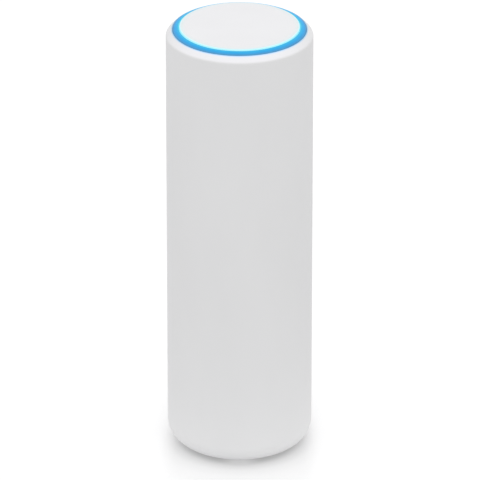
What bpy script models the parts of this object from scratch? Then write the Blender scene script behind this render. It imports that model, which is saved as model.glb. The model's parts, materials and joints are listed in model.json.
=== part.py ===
"""Mesh wifi node: a moulded sleeve with a lit ring, a twist-off base and an electronics core.

The node stands on the floor at z = 0 with its axis on Z. The front is -Y and the cable leaves at +Y.
"""
import math

import bmesh
import bpy
from mathutils import Matrix, Vector

MM = 0.001

# ---- Outer form -------------------------------------------------------------------------------
BODY_HEIGHT = 150.0 * MM
BODY_RADIUS = 24.1 * MM
WALL = 2.15 * MM
EDGE_RADIUS = 8.2 * MM
SHOULDER_DROP = 2.15 * MM
SHOULDER_FILLET = 1.0 * MM
FOOT_LIFT = 0.6 * MM
RIM_FLAT = 0.5 * MM

# ---- Fits: gap between pieces, lap of joined shapes, overshoot of cutters, and the facets -------
CLEAR = 0.3 * MM
LAP = 0.2 * MM
THROUGH = 1.0 * MM
MERGE = 0.001 * MM
FILLET_STEP = 1.4 * MM
SLEEVE_STEPS = 64
TOP_STEPS = 48
INNER_STEPS = 28
NOTCH_STEPS = 8

# ---- Top cap and light ring -------------------------------------------------------------------
CAP_THICKNESS = 1.8 * MM
CAP_EDGE = 0.4 * MM
CAP_RIB_INSET = 1.0 * MM
CAP_RIB_DROP = 0.9 * MM
CAP_RIB_WIDTH = 1.2 * MM
CAP_CLIP_HOLD = 0.5 * MM
RING_WIDTH = 1.7 * MM
RING_DROP = 1.04 * MM
RING_STEP = 0.35 * MM
RING_LEDGE = 1.2 * MM
RING_LEDGE_REACH = 4.45 * MM
RING_DEPTH = 9.1 * MM
RING_CLIP_HOLD = 0.6 * MM
RING_FOOT_HALF_ANGLE = 4.0
CLIP_WIDTH = 1.1 * MM
CLIP_BARB = 1.2 * MM
CLIP_HALF_ANGLE = 8.0
CAP_CLIP_ANGLES = (30.0, 150.0, 270.0)
RING_CLIP_ANGLES = (90.0, 210.0, 330.0)

# ---- Light board ------------------------------------------------------------------------------
LAMP_COUNT = 15
LAMP_LENGTH = 2.8 * MM
LAMP_WIDTH = 1.3 * MM
LAMP_HEIGHT = 0.8 * MM
LIGHT_BOARD_THICKNESS = 1.0 * MM
TONGUE_LENGTH = 6.0 * MM
TONGUE_WIDTH = 8.0 * MM
TONGUE_SOCKET_WIDTH = 7.0 * MM
TONGUE_SOCKET_LENGTH = 2.6 * MM
TONGUE_SOCKET_HEIGHT = 1.4 * MM
TONGUE_SOCKET_INSET = 0.4 * MM

# ---- Base cover and its bayonet ---------------------------------------------------------------
COVER_THICKNESS = 2.2 * MM
COVER_SINK = 0.3 * MM
COVER_EDGE = 0.4 * MM
SOLE_THICKNESS = 3.2 * MM
FLOOR_THICKNESS = 1.8 * MM
RECESS_MARGIN = 2.58 * MM
RIM_THICKNESS = 2.0 * MM
LUG_HOLD = 0.7 * MM
LUG_HEIGHT = 1.3 * MM
HOOK_WALL = 0.8 * MM
HOOK_ANGLES = (28.0, 124.0, 215.0, 305.0)
HOOK_TURN = 25.0
ENTRY_SPARE_ANGLE = 2.0
EAR_ANGLES = (0.0, 180.0, 270.0)
EAR_HALF_ANGLE = 10.5
EAR_REACH = 4.2 * MM
GRIP_RADIUS = 3.0 * MM
GRIP_SPACING = 10.0 * MM
GRIP_DEPTH = 1.1 * MM
FOOT_INSET = 1.3 * MM
FOOT_WIDTH = 4.4 * MM
FOOT_HEIGHT = 1.5 * MM
FOOT_EDGE = 0.3 * MM
CABLE_NOTCH_WIDTH = 7.5 * MM
CABLE_NOTCH_TOP = 9.3 * MM

# ---- Port well and reset button ---------------------------------------------------------------
WELL_WALL = 1.2 * MM
WELL_DEPTH = 23.3 * MM
WELL_EDGE = 0.5 * MM
FLANGE_THICKNESS = 1.8 * MM
ROOF_THICKNESS = 1.8 * MM
SKIRT_WIDTH = 1.3 * MM
TOWER_RADIUS = 2.2 * MM
TOWER_ANGLES = (55.0, 125.0, 235.0, 305.0)
EAR_BOSS_RADIUS = 2.1 * MM
EAR_BOSS_HEIGHT = 9.0 * MM
GUSSET_ANGLES = (20.0, 75.0, 105.0, 160.0, 215.0, 325.0)
GUSSET_HEIGHT = 6.0 * MM
GUSSET_WIDTH = 1.2 * MM
GUSSET_INSET = 1.5 * MM
GUSSET_TOE = 0.4 * MM
BUTTON_RADIUS = 1.3 * MM
BUTTON_EDGE = 0.3 * MM
BUTTON_PROUD = 0.7 * MM
BUTTON_STEM_RADIUS = 0.9 * MM
BUTTON_STEM_ABOVE = 0.8 * MM
BUTTON_COLLAR_RADIUS = 1.9 * MM
BUTTON_COLLAR_HEIGHT = 0.8 * MM
BUTTON_TRAVEL = 0.4 * MM
PLUNGER_RADIUS = 0.7 * MM
PLUNGER_LENGTH = 3.0 * MM
PLUNGER_SHOWN = 1.6 * MM
SWITCH_HEIGHT = 3.6 * MM
SWITCH_FRONT = 1.9 * MM
RESET_SIDE_GAP = 2.2 * MM
RESET_OFF_BOARD = 2.15 * MM

# ---- Screws -----------------------------------------------------------------------------------
SCREW_RADIUS = 0.9 * MM
SCREW_HEAD_RADIUS = 1.7 * MM
SCREW_HEAD_HEIGHT = 1.1 * MM
SCREW_DEPTH = 6.0 * MM
SCREW_TIP_GAP = 0.5 * MM
SCREW_SOCKET_RADIUS = 0.6 * MM
SCREW_SOCKET_DEPTH = 0.6 * MM

# ---- Network socket ---------------------------------------------------------------------------
JACK_WIDTH = 16.0 * MM
JACK_HEIGHT = 13.5 * MM
JACK_LENGTH = 21.1 * MM
JACK_SHEET = 0.4 * MM
SOCKET_WIDTH = 11.9 * MM
SOCKET_HEIGHT = 7.0 * MM
SOCKET_DEPTH = 16.0 * MM
SOCKET_OFF_CENTRE = 0.1 * MM
LATCH_WIDTH = 6.2 * MM
LATCH_HEIGHT = 1.6 * MM
LATCH_DEPTH = 8.0 * MM
SPRING_HALF_WIDTH = 2.0 * MM
SPRING_FOOT = 5.0 * MM
SPRING_SLOT = 1.0 * MM
SPRING_HEIGHT = 8.0 * MM
CONTACT_COUNT = 8
CONTACT_PITCH = 1.02 * MM
CONTACT_WIDTH = 0.5 * MM
CONTACT_THICKNESS = 0.35 * MM
CONTACT_LENGTH = 11.0 * MM
CONTACT_SLOPE = 14.0
COMB_THICKNESS = 1.6 * MM
COMB_SIDE = 0.8 * MM
COMB_INSET = 1.5 * MM
CONTACT_FOOT = 1.0 * MM

# ---- Main board and the parts on it -----------------------------------------------------------
BOARD_THICKNESS = 1.6 * MM
BOARD_BACK = -7.65 * MM
BOARD_BELOW_COLLAR = 8.5 * MM
BOARD_SCREW_INSET = 3.6 * MM
BOARD_SCREW_REACH = 3.2 * MM
CHIP_HEIGHT = 1.2 * MM
PAD_HEIGHT = 0.8 * MM
PAD_MARGIN = 0.5 * MM
PROCESSOR_SIZE = 14.0 * MM
PROCESSOR_DROP = 42.0 * MM
RADIO_CHIP_SIZE = 9.0 * MM
RADIO_CHIP_X = 7.0 * MM
RADIO_CHIP_DROP = 18.0 * MM
MEMORY_WIDTH = 8.0 * MM
MEMORY_HEIGHT = 8.5 * MM
MEMORY_X = -4.8 * MM
FLASH_WIDTH = 6.0 * MM
FLASH_HEIGHT = 5.0 * MM
FLASH_X = 5.4 * MM
CHIP_SPACING = 1.2 * MM
NETWORK_COIL_WIDTH = 15.0 * MM
NETWORK_COIL_HEIGHT = 9.5 * MM
NETWORK_COIL_DEPTH = 5.6 * MM
NETWORK_COIL_EDGE = 0.3 * MM
POWER_COIL_SIZE = 11.0 * MM
POWER_COIL_DEPTH = 10.5 * MM
POWER_COIL_X = -5.8 * MM
POWER_COIL_EDGE = 0.5 * MM
COIL_WAIST = 1.2 * MM
COIL_CORE = 2.5 * MM
INDUCTOR_SIZE = 7.0 * MM
INDUCTOR_DEPTH = 4.0 * MM
INDUCTOR_X = 6.5 * MM
INDUCTOR_EDGE = 1.0 * MM
CAPACITOR_RADIUS = 2.5 * MM
CAPACITOR_HEIGHT = 10.5 * MM
CAPACITOR_PITCH = 7.0 * MM
CAPACITOR_LEVEL = 6.5 * MM
CAPACITOR_EDGE = 0.4 * MM
SHIELD_SIDE_GAP = 3.5 * MM
SHIELD_HEIGHT = 16.0 * MM
SHIELD_DEPTH = 2.4 * MM
SHIELD_SHEET = 0.4 * MM
SHIELD_CORNER = 1.0 * MM
SHIELD_SPACING = 1.4 * MM
SHIELD_DROP = 11.0 * MM
SHIELD_HOLE_RADIUS = 0.6 * MM
SHIELD_HOLE_PITCH = 2.6 * MM
FLEX_SOCKET_WIDTH = 8.0 * MM
FLEX_SOCKET_HEIGHT = 3.0 * MM
FLEX_SOCKET_DEPTH = 1.6 * MM
FLEX_SOCKET_DROP = 9.0 * MM
FLEX_WIDTH = 5.6 * MM
FLEX_THICKNESS = 0.3 * MM
FLEX_BEND = 5.0 * MM

# ---- Inner frame ------------------------------------------------------------------------------
FRAME_BASE = 1.8 * MM
RAIL_WIDTH = 2.8 * MM
RAIL_SIDE = 1.3 * MM
GROOVE_DEPTH = 1.4 * MM
CORE_GAP = 0.6 * MM
CARRIER_WALL = 1.3 * MM
CARRIER_INSET = 1.45 * MM
CARRIER_HEIGHT = 75.0 * MM
COLLAR_HEIGHT = 2.0 * MM
COLLAR_WIDTH = 4.65 * MM
WINDOW_ANGLES = (50.0, 90.0, 130.0)
WINDOW_HALF_ANGLE = 12.0
WINDOW_HEIGHT = 20.0 * MM
WINDOW_SILL = 6.0 * MM

# ---- Antennas and their cables ----------------------------------------------------------------
ANTENNA_ANGLES = (155.0, 115.0, 65.0, 25.0)
ANTENNA_HALF_ANGLE = 13.0
ANTENNA_HEIGHT = 35.0 * MM
ANTENNA_SHEET = 0.3 * MM
ANTENNA_BELOW_COLLAR = 5.0 * MM
ANTENNA_SLOT = 1.5 * MM
ANTENNA_SLOT_LOW = 8.0 * MM
ANTENNA_SLOT_HIGH = 17.0 * MM
ANTENNA_SLOT_ANGLE = 4.0
PEG_RADIUS = 0.6 * MM
PEG_ABOVE_FOOT = 9.0 * MM
PEG_BELOW_TOP = 3.0 * MM
FEED_LEVEL = 4.0 * MM
COAX_RADIUS = 0.57 * MM
PLUG_RADIUS = 1.3 * MM
PLUG_HEIGHT = 1.8 * MM
PLUG_INSET = 4.9 * MM
PLUG_BELOW_SHIELD = 9.0 * MM
CABLE_RISE = 9.0 * MM
CABLE_RUN_OUT = 9.0 * MM

# ---- Heat sink --------------------------------------------------------------------------------
SINK_BASE = 1.9 * MM
SINK_SIDE_FIN = 1.6 * MM
SINK_BORE_GAP = 0.8 * MM
SINK_ABOVE_FOOT = 24.0 * MM
SINK_BELOW_TOP = 1.0 * MM
SINK_SCREW_LOW = 4.0 * MM
SINK_SCREW_HIGH = 3.5 * MM
SINK_HOLE_DEPTH = 3.6 * MM
SINK_BOSS_RADIUS = 2.2 * MM
FIN_COUNT = 9
FIN_THICKNESS = 1.2 * MM

# ---- Levels and radii worked out from the sizes above -----------------------------------------
BORE_RADIUS = BODY_RADIUS - WALL
LIP_Z = BODY_HEIGHT - RING_DROP
CORE_RADIUS = BORE_RADIUS - CLEAR

BOARD_FRONT = BOARD_BACK + BOARD_THICKNESS
SEAT_Y = BOARD_FRONT + CLEAR
RESET_X = JACK_WIDTH / 2 + RESET_SIDE_GAP
RESET_Y = BOARD_FRONT + RESET_OFF_BOARD
SWITCH_HALF_WIDTH = RESET_SIDE_GAP - CLEAR
WELL_RADIUS = math.hypot(RESET_X, RESET_Y) + BUTTON_RADIUS + 2 * CLEAR
TOWER_RADIAL = WELL_RADIUS + WELL_WALL + TOWER_RADIUS - 2 * LAP

CAP_UNDERSIDE = BODY_HEIGHT - CAP_THICKNESS
LEDGE_TOP = CAP_UNDERSIDE - CAP_RIB_DROP - CLEAR
LEDGE_BOTTOM = LEDGE_TOP - RING_LEDGE
RING_INNER = CORE_RADIUS - RING_WIDTH
CAP_RADIUS = RING_INNER - CLEAR
LEDGE_INNER = RING_INNER - RING_LEDGE_REACH
RING_BOTTOM = BODY_HEIGHT - RING_DEPTH
LAMP_TOP = RING_BOTTOM - CLEAR
LIGHT_BOARD_TOP = LAMP_TOP - LAMP_HEIGHT
LIGHT_BOARD_BOTTOM = LIGHT_BOARD_TOP - LIGHT_BOARD_THICKNESS
COLLAR_TOP = LIGHT_BOARD_BOTTOM - CLEAR
COLLAR_BOTTOM = COLLAR_TOP - COLLAR_HEIGHT
COLLAR_INNER = CORE_RADIUS - COLLAR_WIDTH

COVER_BOTTOM = FOOT_LIFT + COVER_SINK
COVER_TOP = COVER_BOTTOM + COVER_THICKNESS
FLOOR_BOTTOM = COVER_TOP + SCREW_HEAD_HEIGHT + 2 * CLEAR
FLOOR_TOP = FLOOR_BOTTOM + FLOOR_THICKNESS
RECESS_RADIUS = WELL_RADIUS + RECESS_MARGIN
OUTER_EDGE = min(EDGE_RADIUS, BODY_RADIUS - RECESS_RADIUS - RIM_FLAT)
RIM_RADIUS = RECESS_RADIUS + RIM_THICKNESS
CHANNEL_Z = FOOT_LIFT + SOLE_THICKNESS
COVER_RADIUS = RECESS_RADIUS - CLEAR
FOOT_OUTER_RADIUS = COVER_RADIUS - FOOT_INSET
FOOT_INNER_RADIUS = FOOT_OUTER_RADIUS - FOOT_WIDTH
FLOOR_EDGE = COVER_RADIUS - LUG_HOLD
HOOK_OUTER = FLOOR_EDGE - CLEAR
HOOK_INNER = HOOK_OUTER - HOOK_WALL
LUG_BOTTOM = FLOOR_TOP + CLEAR
LUG_TOP = LUG_BOTTOM + LUG_HEIGHT
EAR_RADIUS = FLOOR_EDGE - EAR_REACH / 2

FLANGE_BOTTOM = LUG_TOP + CLEAR
FLANGE_TOP = FLANGE_BOTTOM + FLANGE_THICKNESS
ROOF_BOTTOM = FLANGE_BOTTOM + WELL_DEPTH
ROOF_TOP = ROOF_BOTTOM + ROOF_THICKNESS

FRAME_BOTTOM = ROOF_TOP + CLEAR
FRAME_BASE_TOP = FRAME_BOTTOM + FRAME_BASE
FRAME_RADIUS = CORE_RADIUS - CORE_GAP
BOARD_BOTTOM = FRAME_BASE_TOP + CLEAR
BOARD_TOP = COLLAR_BOTTOM - BOARD_BELOW_COLLAR
RAIL_BACK = BOARD_BACK - CLEAR - RAIL_SIDE
RAIL_FRONT = BOARD_FRONT + CLEAR + RAIL_SIDE
RAIL_OUTER = math.sqrt(FRAME_RADIUS ** 2 - RAIL_BACK ** 2)
RAIL_INNER = RAIL_OUTER - RAIL_WIDTH
GROOVE_X = RAIL_INNER + GROOVE_DEPTH
BOARD_HALF = GROOVE_X - CLEAR
CARRIER_OUTER = CORE_RADIUS - CARRIER_INSET
CARRIER_INNER = CARRIER_OUTER - CARRIER_WALL
CARRIER_BOTTOM = COLLAR_BOTTOM - CARRIER_HEIGHT

JACK_FRONT = SEAT_Y + JACK_HEIGHT
JACK_CENTRE_Y = SEAT_Y + JACK_HEIGHT / 2
JACK_BOTTOM = ROOF_BOTTOM + CLEAR
JACK_TOP = JACK_BOTTOM + JACK_LENGTH
CAPACITOR_X = -(JACK_WIDTH / 2 + RAIL_INNER) / 2

CHIP_BACK = BOARD_BACK - CLEAR
PAD_FACE = CHIP_BACK - CHIP_HEIGHT - CLEAR
PROCESSOR_Z = BOARD_TOP - PROCESSOR_DROP
SINK_FACE = PAD_FACE - PAD_HEIGHT - CLEAR
SINK_BACK = SINK_FACE - SINK_BASE
SINK_REACH = BORE_RADIUS - SINK_BORE_GAP
SINK_HALF_WIDTH = math.sqrt(SINK_REACH ** 2 - (SINK_BACK - SINK_SIDE_FIN) ** 2)
SINK_BOTTOM = BOARD_BOTTOM + SINK_ABOVE_FOOT
SINK_TOP = BOARD_TOP - SINK_BELOW_TOP
BOARD_SCREW_X = BOARD_HALF - BOARD_SCREW_INSET
BOARD_SCREW_LEVELS = (SINK_BOTTOM + SINK_SCREW_LOW, SINK_TOP - SINK_SCREW_HIGH)

SHIELD_WIDTH = BOARD_HALF - SHIELD_SIDE_GAP - SHIELD_SPACING / 2
SHIELD_BOTTOM = BOARD_TOP - SHIELD_DROP - SHIELD_HEIGHT
PLUG_X = BOARD_HALF - PLUG_INSET
PLUG_Z = SHIELD_BOTTOM - PLUG_BELOW_SHIELD
COIL_GAP = (PLUG_Z - PLUG_RADIUS - JACK_TOP - NETWORK_COIL_HEIGHT - POWER_COIL_SIZE) / 3
NETWORK_COIL_Z = JACK_TOP + COIL_GAP + NETWORK_COIL_HEIGHT / 2
POWER_COIL_Z = PLUG_Z - PLUG_RADIUS - COIL_GAP - POWER_COIL_SIZE / 2
MEMORY_TOP = PROCESSOR_Z - PROCESSOR_SIZE / 2 - CHIP_SPACING
FLEX_SOCKET_TOP = BOARD_TOP - FLEX_SOCKET_DROP + FLEX_SOCKET_HEIGHT
TONGUE_END = TONGUE_LENGTH - COLLAR_INNER - CLEAR

ANTENNA_INNER = CARRIER_OUTER + CLEAR
ANTENNA_OUTER = ANTENNA_INNER + ANTENNA_SHEET
ANTENNA_TOP = COLLAR_BOTTOM - ANTENNA_BELOW_COLLAR
ANTENNA_BOTTOM = ANTENNA_TOP - ANTENNA_HEIGHT
FEED_Z = ANTENNA_BOTTOM + FEED_LEVEL

# ---- Finishes: base colour, roughness, metallic -----------------------------------------------
WHITE_PLASTIC = ((0.80, 0.80, 0.82), 0.42, 0.0)
CAP_PLASTIC = ((0.86, 0.86, 0.89), 0.5, 0.0)
BLUE_LIGHT = ((0.06, 0.45, 0.90), 0.3, 0.0)
GREY_PLASTIC = ((0.55, 0.56, 0.58), 0.5, 0.0)
BLACK_PLASTIC = ((0.03, 0.03, 0.035), 0.45, 0.0)
PALE_RUBBER = ((0.45, 0.46, 0.48), 0.8, 0.0)
BOARD_GREEN = ((0.03, 0.17, 0.09), 0.45, 0.0)
STEEL = ((0.62, 0.62, 0.63), 0.32, 1.0)
ALUMINIUM = ((0.72, 0.73, 0.75), 0.38, 1.0)
BRASS = ((0.78, 0.60, 0.30), 0.3, 1.0)
PAD_GREY = ((0.42, 0.50, 0.62), 0.85, 0.0)
FERRITE = ((0.10, 0.10, 0.11), 0.6, 0.0)
AMBER_FILM = ((0.60, 0.28, 0.05), 0.4, 0.0)


# ---- Scene and helpers ------------------------------------------------------------------------
for old in list(bpy.data.objects):
    bpy.data.objects.remove(old, do_unlink=True)


def collection(name):
    group = bpy.data.collections.new(name)
    bpy.context.scene.collection.children.link(group)
    return group


PARTS = collection("mesh_wifi_node")
CUTTERS = collection("cutters")


def paint(thing, finish):
    colour, roughness, metallic = finish
    material = bpy.data.materials.new(thing.name + "_finish")
    material.use_nodes = True
    shader = material.node_tree.nodes["Principled BSDF"]
    shader.inputs["Base Color"].default_value = (*colour, 1.0)
    shader.inputs["Roughness"].default_value = roughness
    shader.inputs["Metallic"].default_value = metallic
    thing.data.materials.clear()
    thing.data.materials.append(material)


def place(thing, finish):
    """Put a solid with the parts and give it its finish, or make it a cutter when it has none."""
    home = PARTS if finish else CUTTERS
    home.objects.link(thing)
    if finish:
        paint(thing, finish)
        return
    thing.hide_render = True
    thing.display_type = "WIRE"


def shade(mesh):
    mesh.shade_smooth()
    mesh.set_sharp_from_angle(angle=math.radians(32))


def mesh_from(guide, name, finish):
    """Turn a guide curve or profile into a mesh object with welded caps."""
    CUTTERS.objects.link(guide)
    bpy.context.view_layer.update()
    graph = bpy.context.evaluated_depsgraph_get()
    mesh = bpy.data.meshes.new_from_object(guide.evaluated_get(graph))
    work = bmesh.new()
    work.from_mesh(mesh)
    bmesh.ops.remove_doubles(work, verts=work.verts, dist=MERGE)
    work.to_mesh(mesh)
    work.free()
    shade(mesh)
    solid = bpy.data.objects.new(name, mesh)
    solid.matrix_world = guide.matrix_world.copy()
    bpy.data.objects.remove(guide)
    place(solid, finish)
    return solid


def turned(name, profile, finish=None, steps=INNER_STEPS, closed=True, base=0.0):
    """Turn (radius, height) points about Z. The points run down the outer side."""
    mesh = bpy.data.meshes.new(name + "_profile")
    edges = [(i, i + 1) for i in range(len(profile) - 1)]
    if closed:
        edges.append((len(profile) - 1, 0))
    mesh.from_pydata([(r, 0.0, z - base) for r, z in profile], edges, [])
    guide = bpy.data.objects.new(name + "_profile", mesh)
    guide.location.z = base
    screw = guide.modifiers.new("turn", "SCREW")
    screw.steps = steps
    screw.render_steps = steps
    screw.use_merge_vertices = True
    screw.merge_threshold = MERGE
    return mesh_from(guide, name, finish)


def extruded(name, outlines, low, high, finish=None, along="Z"):
    """Extrude flat outlines from low to high along Z, or outlines in X and Z along Y."""
    curve = bpy.data.curves.new(name + "_outline", "CURVE")
    curve.dimensions = "2D"
    curve.fill_mode = "BOTH"
    curve.extrude = (high - low) / 2
    for outline in outlines:
        spline = curve.splines.new("POLY")
        spline.points.add(len(outline) - 1)
        for point, (x, y) in zip(spline.points, outline):
            point.co = (x, y, 0.0, 1.0)
        spline.use_cyclic_u = True
    guide = bpy.data.objects.new(name + "_outline", curve)
    middle = (low + high) / 2
    if along == "Z":
        guide.location = (0.0, 0.0, middle)
    else:
        guide.location = (0.0, middle, 0.0)
        guide.rotation_euler = (math.pi / 2, 0.0, 0.0)
    return mesh_from(guide, name, finish)


def tube(name, points, radius, finish):
    curve = bpy.data.curves.new(name + "_path", "CURVE")
    curve.dimensions = "3D"
    curve.bevel_depth = radius
    curve.bevel_resolution = 1
    curve.use_fill_caps = True
    spline = curve.splines.new("POLY")
    spline.points.add(len(points) - 1)
    for point, place_at in zip(spline.points, points):
        point.co = (*place_at, 1.0)
    return mesh_from(bpy.data.objects.new(name + "_path", curve), name, finish)


def from_bmesh(name, work, finish, location=(0.0, 0.0, 0.0)):
    mesh = bpy.data.meshes.new(name)
    bmesh.ops.translate(work, verts=work.verts, vec=-Vector(location))
    work.to_mesh(mesh)
    work.free()
    shade(mesh)
    solid = bpy.data.objects.new(name, mesh)
    solid.location = location
    place(solid, finish)
    return solid


def blocks(name, boxes, finish=None):
    """One or more boxes, each from its low corner to its high corner."""
    work = bmesh.new()
    for low, high in boxes:
        size = Vector(high) - Vector(low)
        middle = (Vector(low) + Vector(high)) / 2
        matrix = Matrix.Translation(middle) @ Matrix.Diagonal((*size, 1.0))
        bmesh.ops.create_cube(work, size=1.0, matrix=matrix)
    first_low, first_high = boxes[0]
    centre = (Vector(first_low) + Vector(first_high)) / 2
    return from_bmesh(name, work, finish, centre if len(boxes) == 1 else (0.0, 0.0, 0.0))


def pins(name, pieces, axis="Z", finish=None, segments=10):
    """Cylinders: each piece is (x, y, z, radius, length), from its centre along the axis."""
    turn = {"Z": Matrix.Identity(4), "Y": Matrix.Rotation(math.pi / 2, 4, "X")}[axis]
    work = bmesh.new()
    for x, y, z, radius, length in pieces:
        bmesh.ops.create_cone(work, cap_ends=True, segments=segments, radius1=radius,
                              radius2=radius, depth=length,
                              matrix=Matrix.Translation((x, y, z)) @ turn)
    return from_bmesh(name, work, finish, pieces[0][:3] if len(pieces) == 1 else (0.0, 0.0, 0.0))


def radial_pins(name, pieces, low, high, radius, segments=10):
    """Cylinders that point out from the axis, each at (angle, height), from low to high radius."""
    work = bmesh.new()
    for angle, z in pieces:
        out = Matrix.Rotation(math.radians(angle), 4, "Z")
        lie = Matrix.Translation(((low + high) / 2, 0.0, z)) @ Matrix.Rotation(math.pi / 2, 4, "Y")
        bmesh.ops.create_cone(work, cap_ends=True, segments=segments, radius1=radius,
                              radius2=radius, depth=high - low, matrix=out @ lie)
    return from_bmesh(name, work, None)


def cut(solid, tool):
    boolean = solid.modifiers.new("cut", "BOOLEAN")
    boolean.operation = "DIFFERENCE"
    boolean.object = tool


def fuse(solid, tool):
    boolean = solid.modifiers.new("fuse", "BOOLEAN")
    boolean.operation = "UNION"
    boolean.object = tool


def polar(radius, angle):
    return (radius * math.cos(math.radians(angle)), radius * math.sin(math.radians(angle)))


def sector(inner, outer, start, end, steps=6):
    """Outline of a ring sector between two angles in degrees."""
    angles = [start + (end - start) * i / steps for i in range(steps + 1)]
    return [polar(outer, a) for a in angles] + [polar(inner, a) for a in reversed(angles)]


def sectors(inner, outer, centres, half_angle, steps=4):
    return [sector(inner, outer, c - half_angle, c + half_angle, steps) for c in centres]


def clips(solid, inner, reach, angles, wall, root, tip, barb):
    """Standing clips: a wall from root to tip at the inner radius, barbed outwards at its tip."""
    up = 1 if tip > root else -1
    low, high = sorted((root - up * LAP, tip))
    full = sectors(inner, reach, angles, CLIP_HALF_ANGLE)
    fuse(solid, extruded(solid.name + "_clips", full, low, high))
    low, high = sorted((root + up * LAP, tip - up * barb))
    relief = sectors(inner + wall, reach + THROUGH, angles, CLIP_HALF_ANGLE + ENTRY_SPARE_ANGLE)
    cut(solid, extruded(solid.name + "_reliefs", relief, low, high))


def rounded(corners):
    """Profile points of a closed outline whose (x, y, fillet) corners are rounded."""
    points = []
    for i, (x, y, fillet) in enumerate(corners):
        if fillet <= 0:
            points.append((x, y))
            continue
        here = Vector((x, y))
        back = (Vector(corners[i - 1][:2]) - here).normalized()
        ahead = (Vector(corners[(i + 1) % len(corners)][:2]) - here).normalized()
        half = back.angle(ahead) / 2
        centre = here + (back + ahead).normalized() * fillet / math.sin(half)
        start = here + back * fillet / math.tan(half) - centre
        end = here + ahead * fillet / math.tan(half) - centre
        first = math.atan2(start.y, start.x)
        sweep = (math.atan2(end.y, end.x) - first + math.pi) % (2 * math.pi) - math.pi
        count = 2 + int(fillet / FILLET_STEP)
        for k in range(count + 1):
            a = first + sweep * k / count
            points.append((centre.x + fillet * math.cos(a), centre.y + fillet * math.sin(a)))
    return points


def bend(start, leave, end, arrive, steps):
    """Points on one cubic curve that leaves start along one vector and reaches end along another."""
    near = start + leave
    far = end - arrive
    route = []
    for i in range(steps + 1):
        t = i / steps
        u = 1.0 - t
        route.append(u ** 3 * start + 3 * u * u * t * near + 3 * u * t * t * far + t ** 3 * end)
    return route


# ---- Outer pieces -----------------------------------------------------------------------------
def outer_sleeve():
    """One moulded tube: shoulder at the top, rounded edge, recess and floor ring at the bottom."""
    inner_fillet = min(OUTER_EDGE - WALL, BORE_RADIUS - RIM_RADIUS - RIM_FLAT)
    sleeve = turned("outer_sleeve", rounded([
        (BORE_RADIUS, LIP_Z, 0),
        (BODY_RADIUS, LIP_Z - SHOULDER_DROP, SHOULDER_FILLET),
        (BODY_RADIUS, FOOT_LIFT, OUTER_EDGE),
        (RECESS_RADIUS, FOOT_LIFT, 0),
        (RECESS_RADIUS, FLOOR_BOTTOM, 0),
        (FLOOR_EDGE, FLOOR_BOTTOM, 0),
        (FLOOR_EDGE, FLOOR_TOP, 0),
        (RIM_RADIUS, FLOOR_TOP, 0),
        (RIM_RADIUS, CHANNEL_Z, 0),
        (BORE_RADIUS, CHANNEL_Z, inner_fillet)]), WHITE_PLASTIC, SLEEVE_STEPS)
    ears = extruded("floor_ears", sectors(FLOOR_EDGE - EAR_REACH, FLOOR_EDGE + LAP, EAR_ANGLES,
                                          EAR_HALF_ANGLE), FLOOR_BOTTOM, FLOOR_TOP)
    fuse(sleeve, ears)
    entries = extruded("hook_entries", sectors(
        FLOOR_EDGE - LAP, RECESS_RADIUS + LAP / 2, [a + HOOK_TURN for a in HOOK_ANGLES],
        CLIP_HALF_ANGLE + ENTRY_SPARE_ANGLE), FLOOR_BOTTOM - LAP, FLOOR_TOP + LAP)
    cut(sleeve, entries)
    holes = [(*polar(EAR_RADIUS, a), (FLOOR_BOTTOM + FLOOR_TOP) / 2, SCREW_RADIUS + CLEAR,
              2 * FLOOR_THICKNESS) for a in EAR_ANGLES]
    cut(sleeve, pins("ear_holes", holes))
    cut(sleeve, cable_notch("sleeve_notch", FLOOR_EDGE - 2 * THROUGH, BODY_RADIUS + LAP))


def cable_notch(name, low_y, high_y):
    """Notch with a round top, open at the bottom, through which the cable leaves at the rear."""
    half = CABLE_NOTCH_WIDTH / 2
    outline = [(-half, -LAP), (half, -LAP)]
    for i in range(NOTCH_STEPS + 1):
        x, rise = polar(half, 180.0 * i / NOTCH_STEPS)
        outline.append((x, CABLE_NOTCH_TOP - half + rise))
    return extruded(name, [outline], low_y, high_y, along="Y")


def light_ring():
    """Translucent light guide: sloped lit face, skirt down to the lamps, ledge for the cap."""
    ring = turned("light_ring", rounded([
        (RING_INNER, BODY_HEIGHT - RING_STEP, 0),
        (CORE_RADIUS, LIP_Z, 0),
        (CORE_RADIUS, RING_BOTTOM, 0),
        (RING_INNER, RING_BOTTOM, 0),
        (RING_INNER, LEDGE_BOTTOM, 0),
        (LEDGE_INNER, LEDGE_BOTTOM, 0),
        (LEDGE_INNER, LEDGE_TOP, 0),
        (RING_INNER, LEDGE_TOP, 0)]), BLUE_LIGHT, TOP_STEPS)
    clips(ring, LEDGE_INNER + LAP, COLLAR_INNER + RING_CLIP_HOLD, RING_CLIP_ANGLES, CLIP_WIDTH,
          LEDGE_BOTTOM, COLLAR_BOTTOM - CLEAR - CLIP_BARB, CLIP_BARB)
    feet = extruded("ring_feet", sectors(RING_INNER + LAP, CORE_RADIUS - LAP, RING_CLIP_ANGLES,
                                         RING_FOOT_HALF_ANGLE), LIGHT_BOARD_TOP + CLEAR, RING_BOTTOM + LAP)
    fuse(ring, feet)


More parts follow.
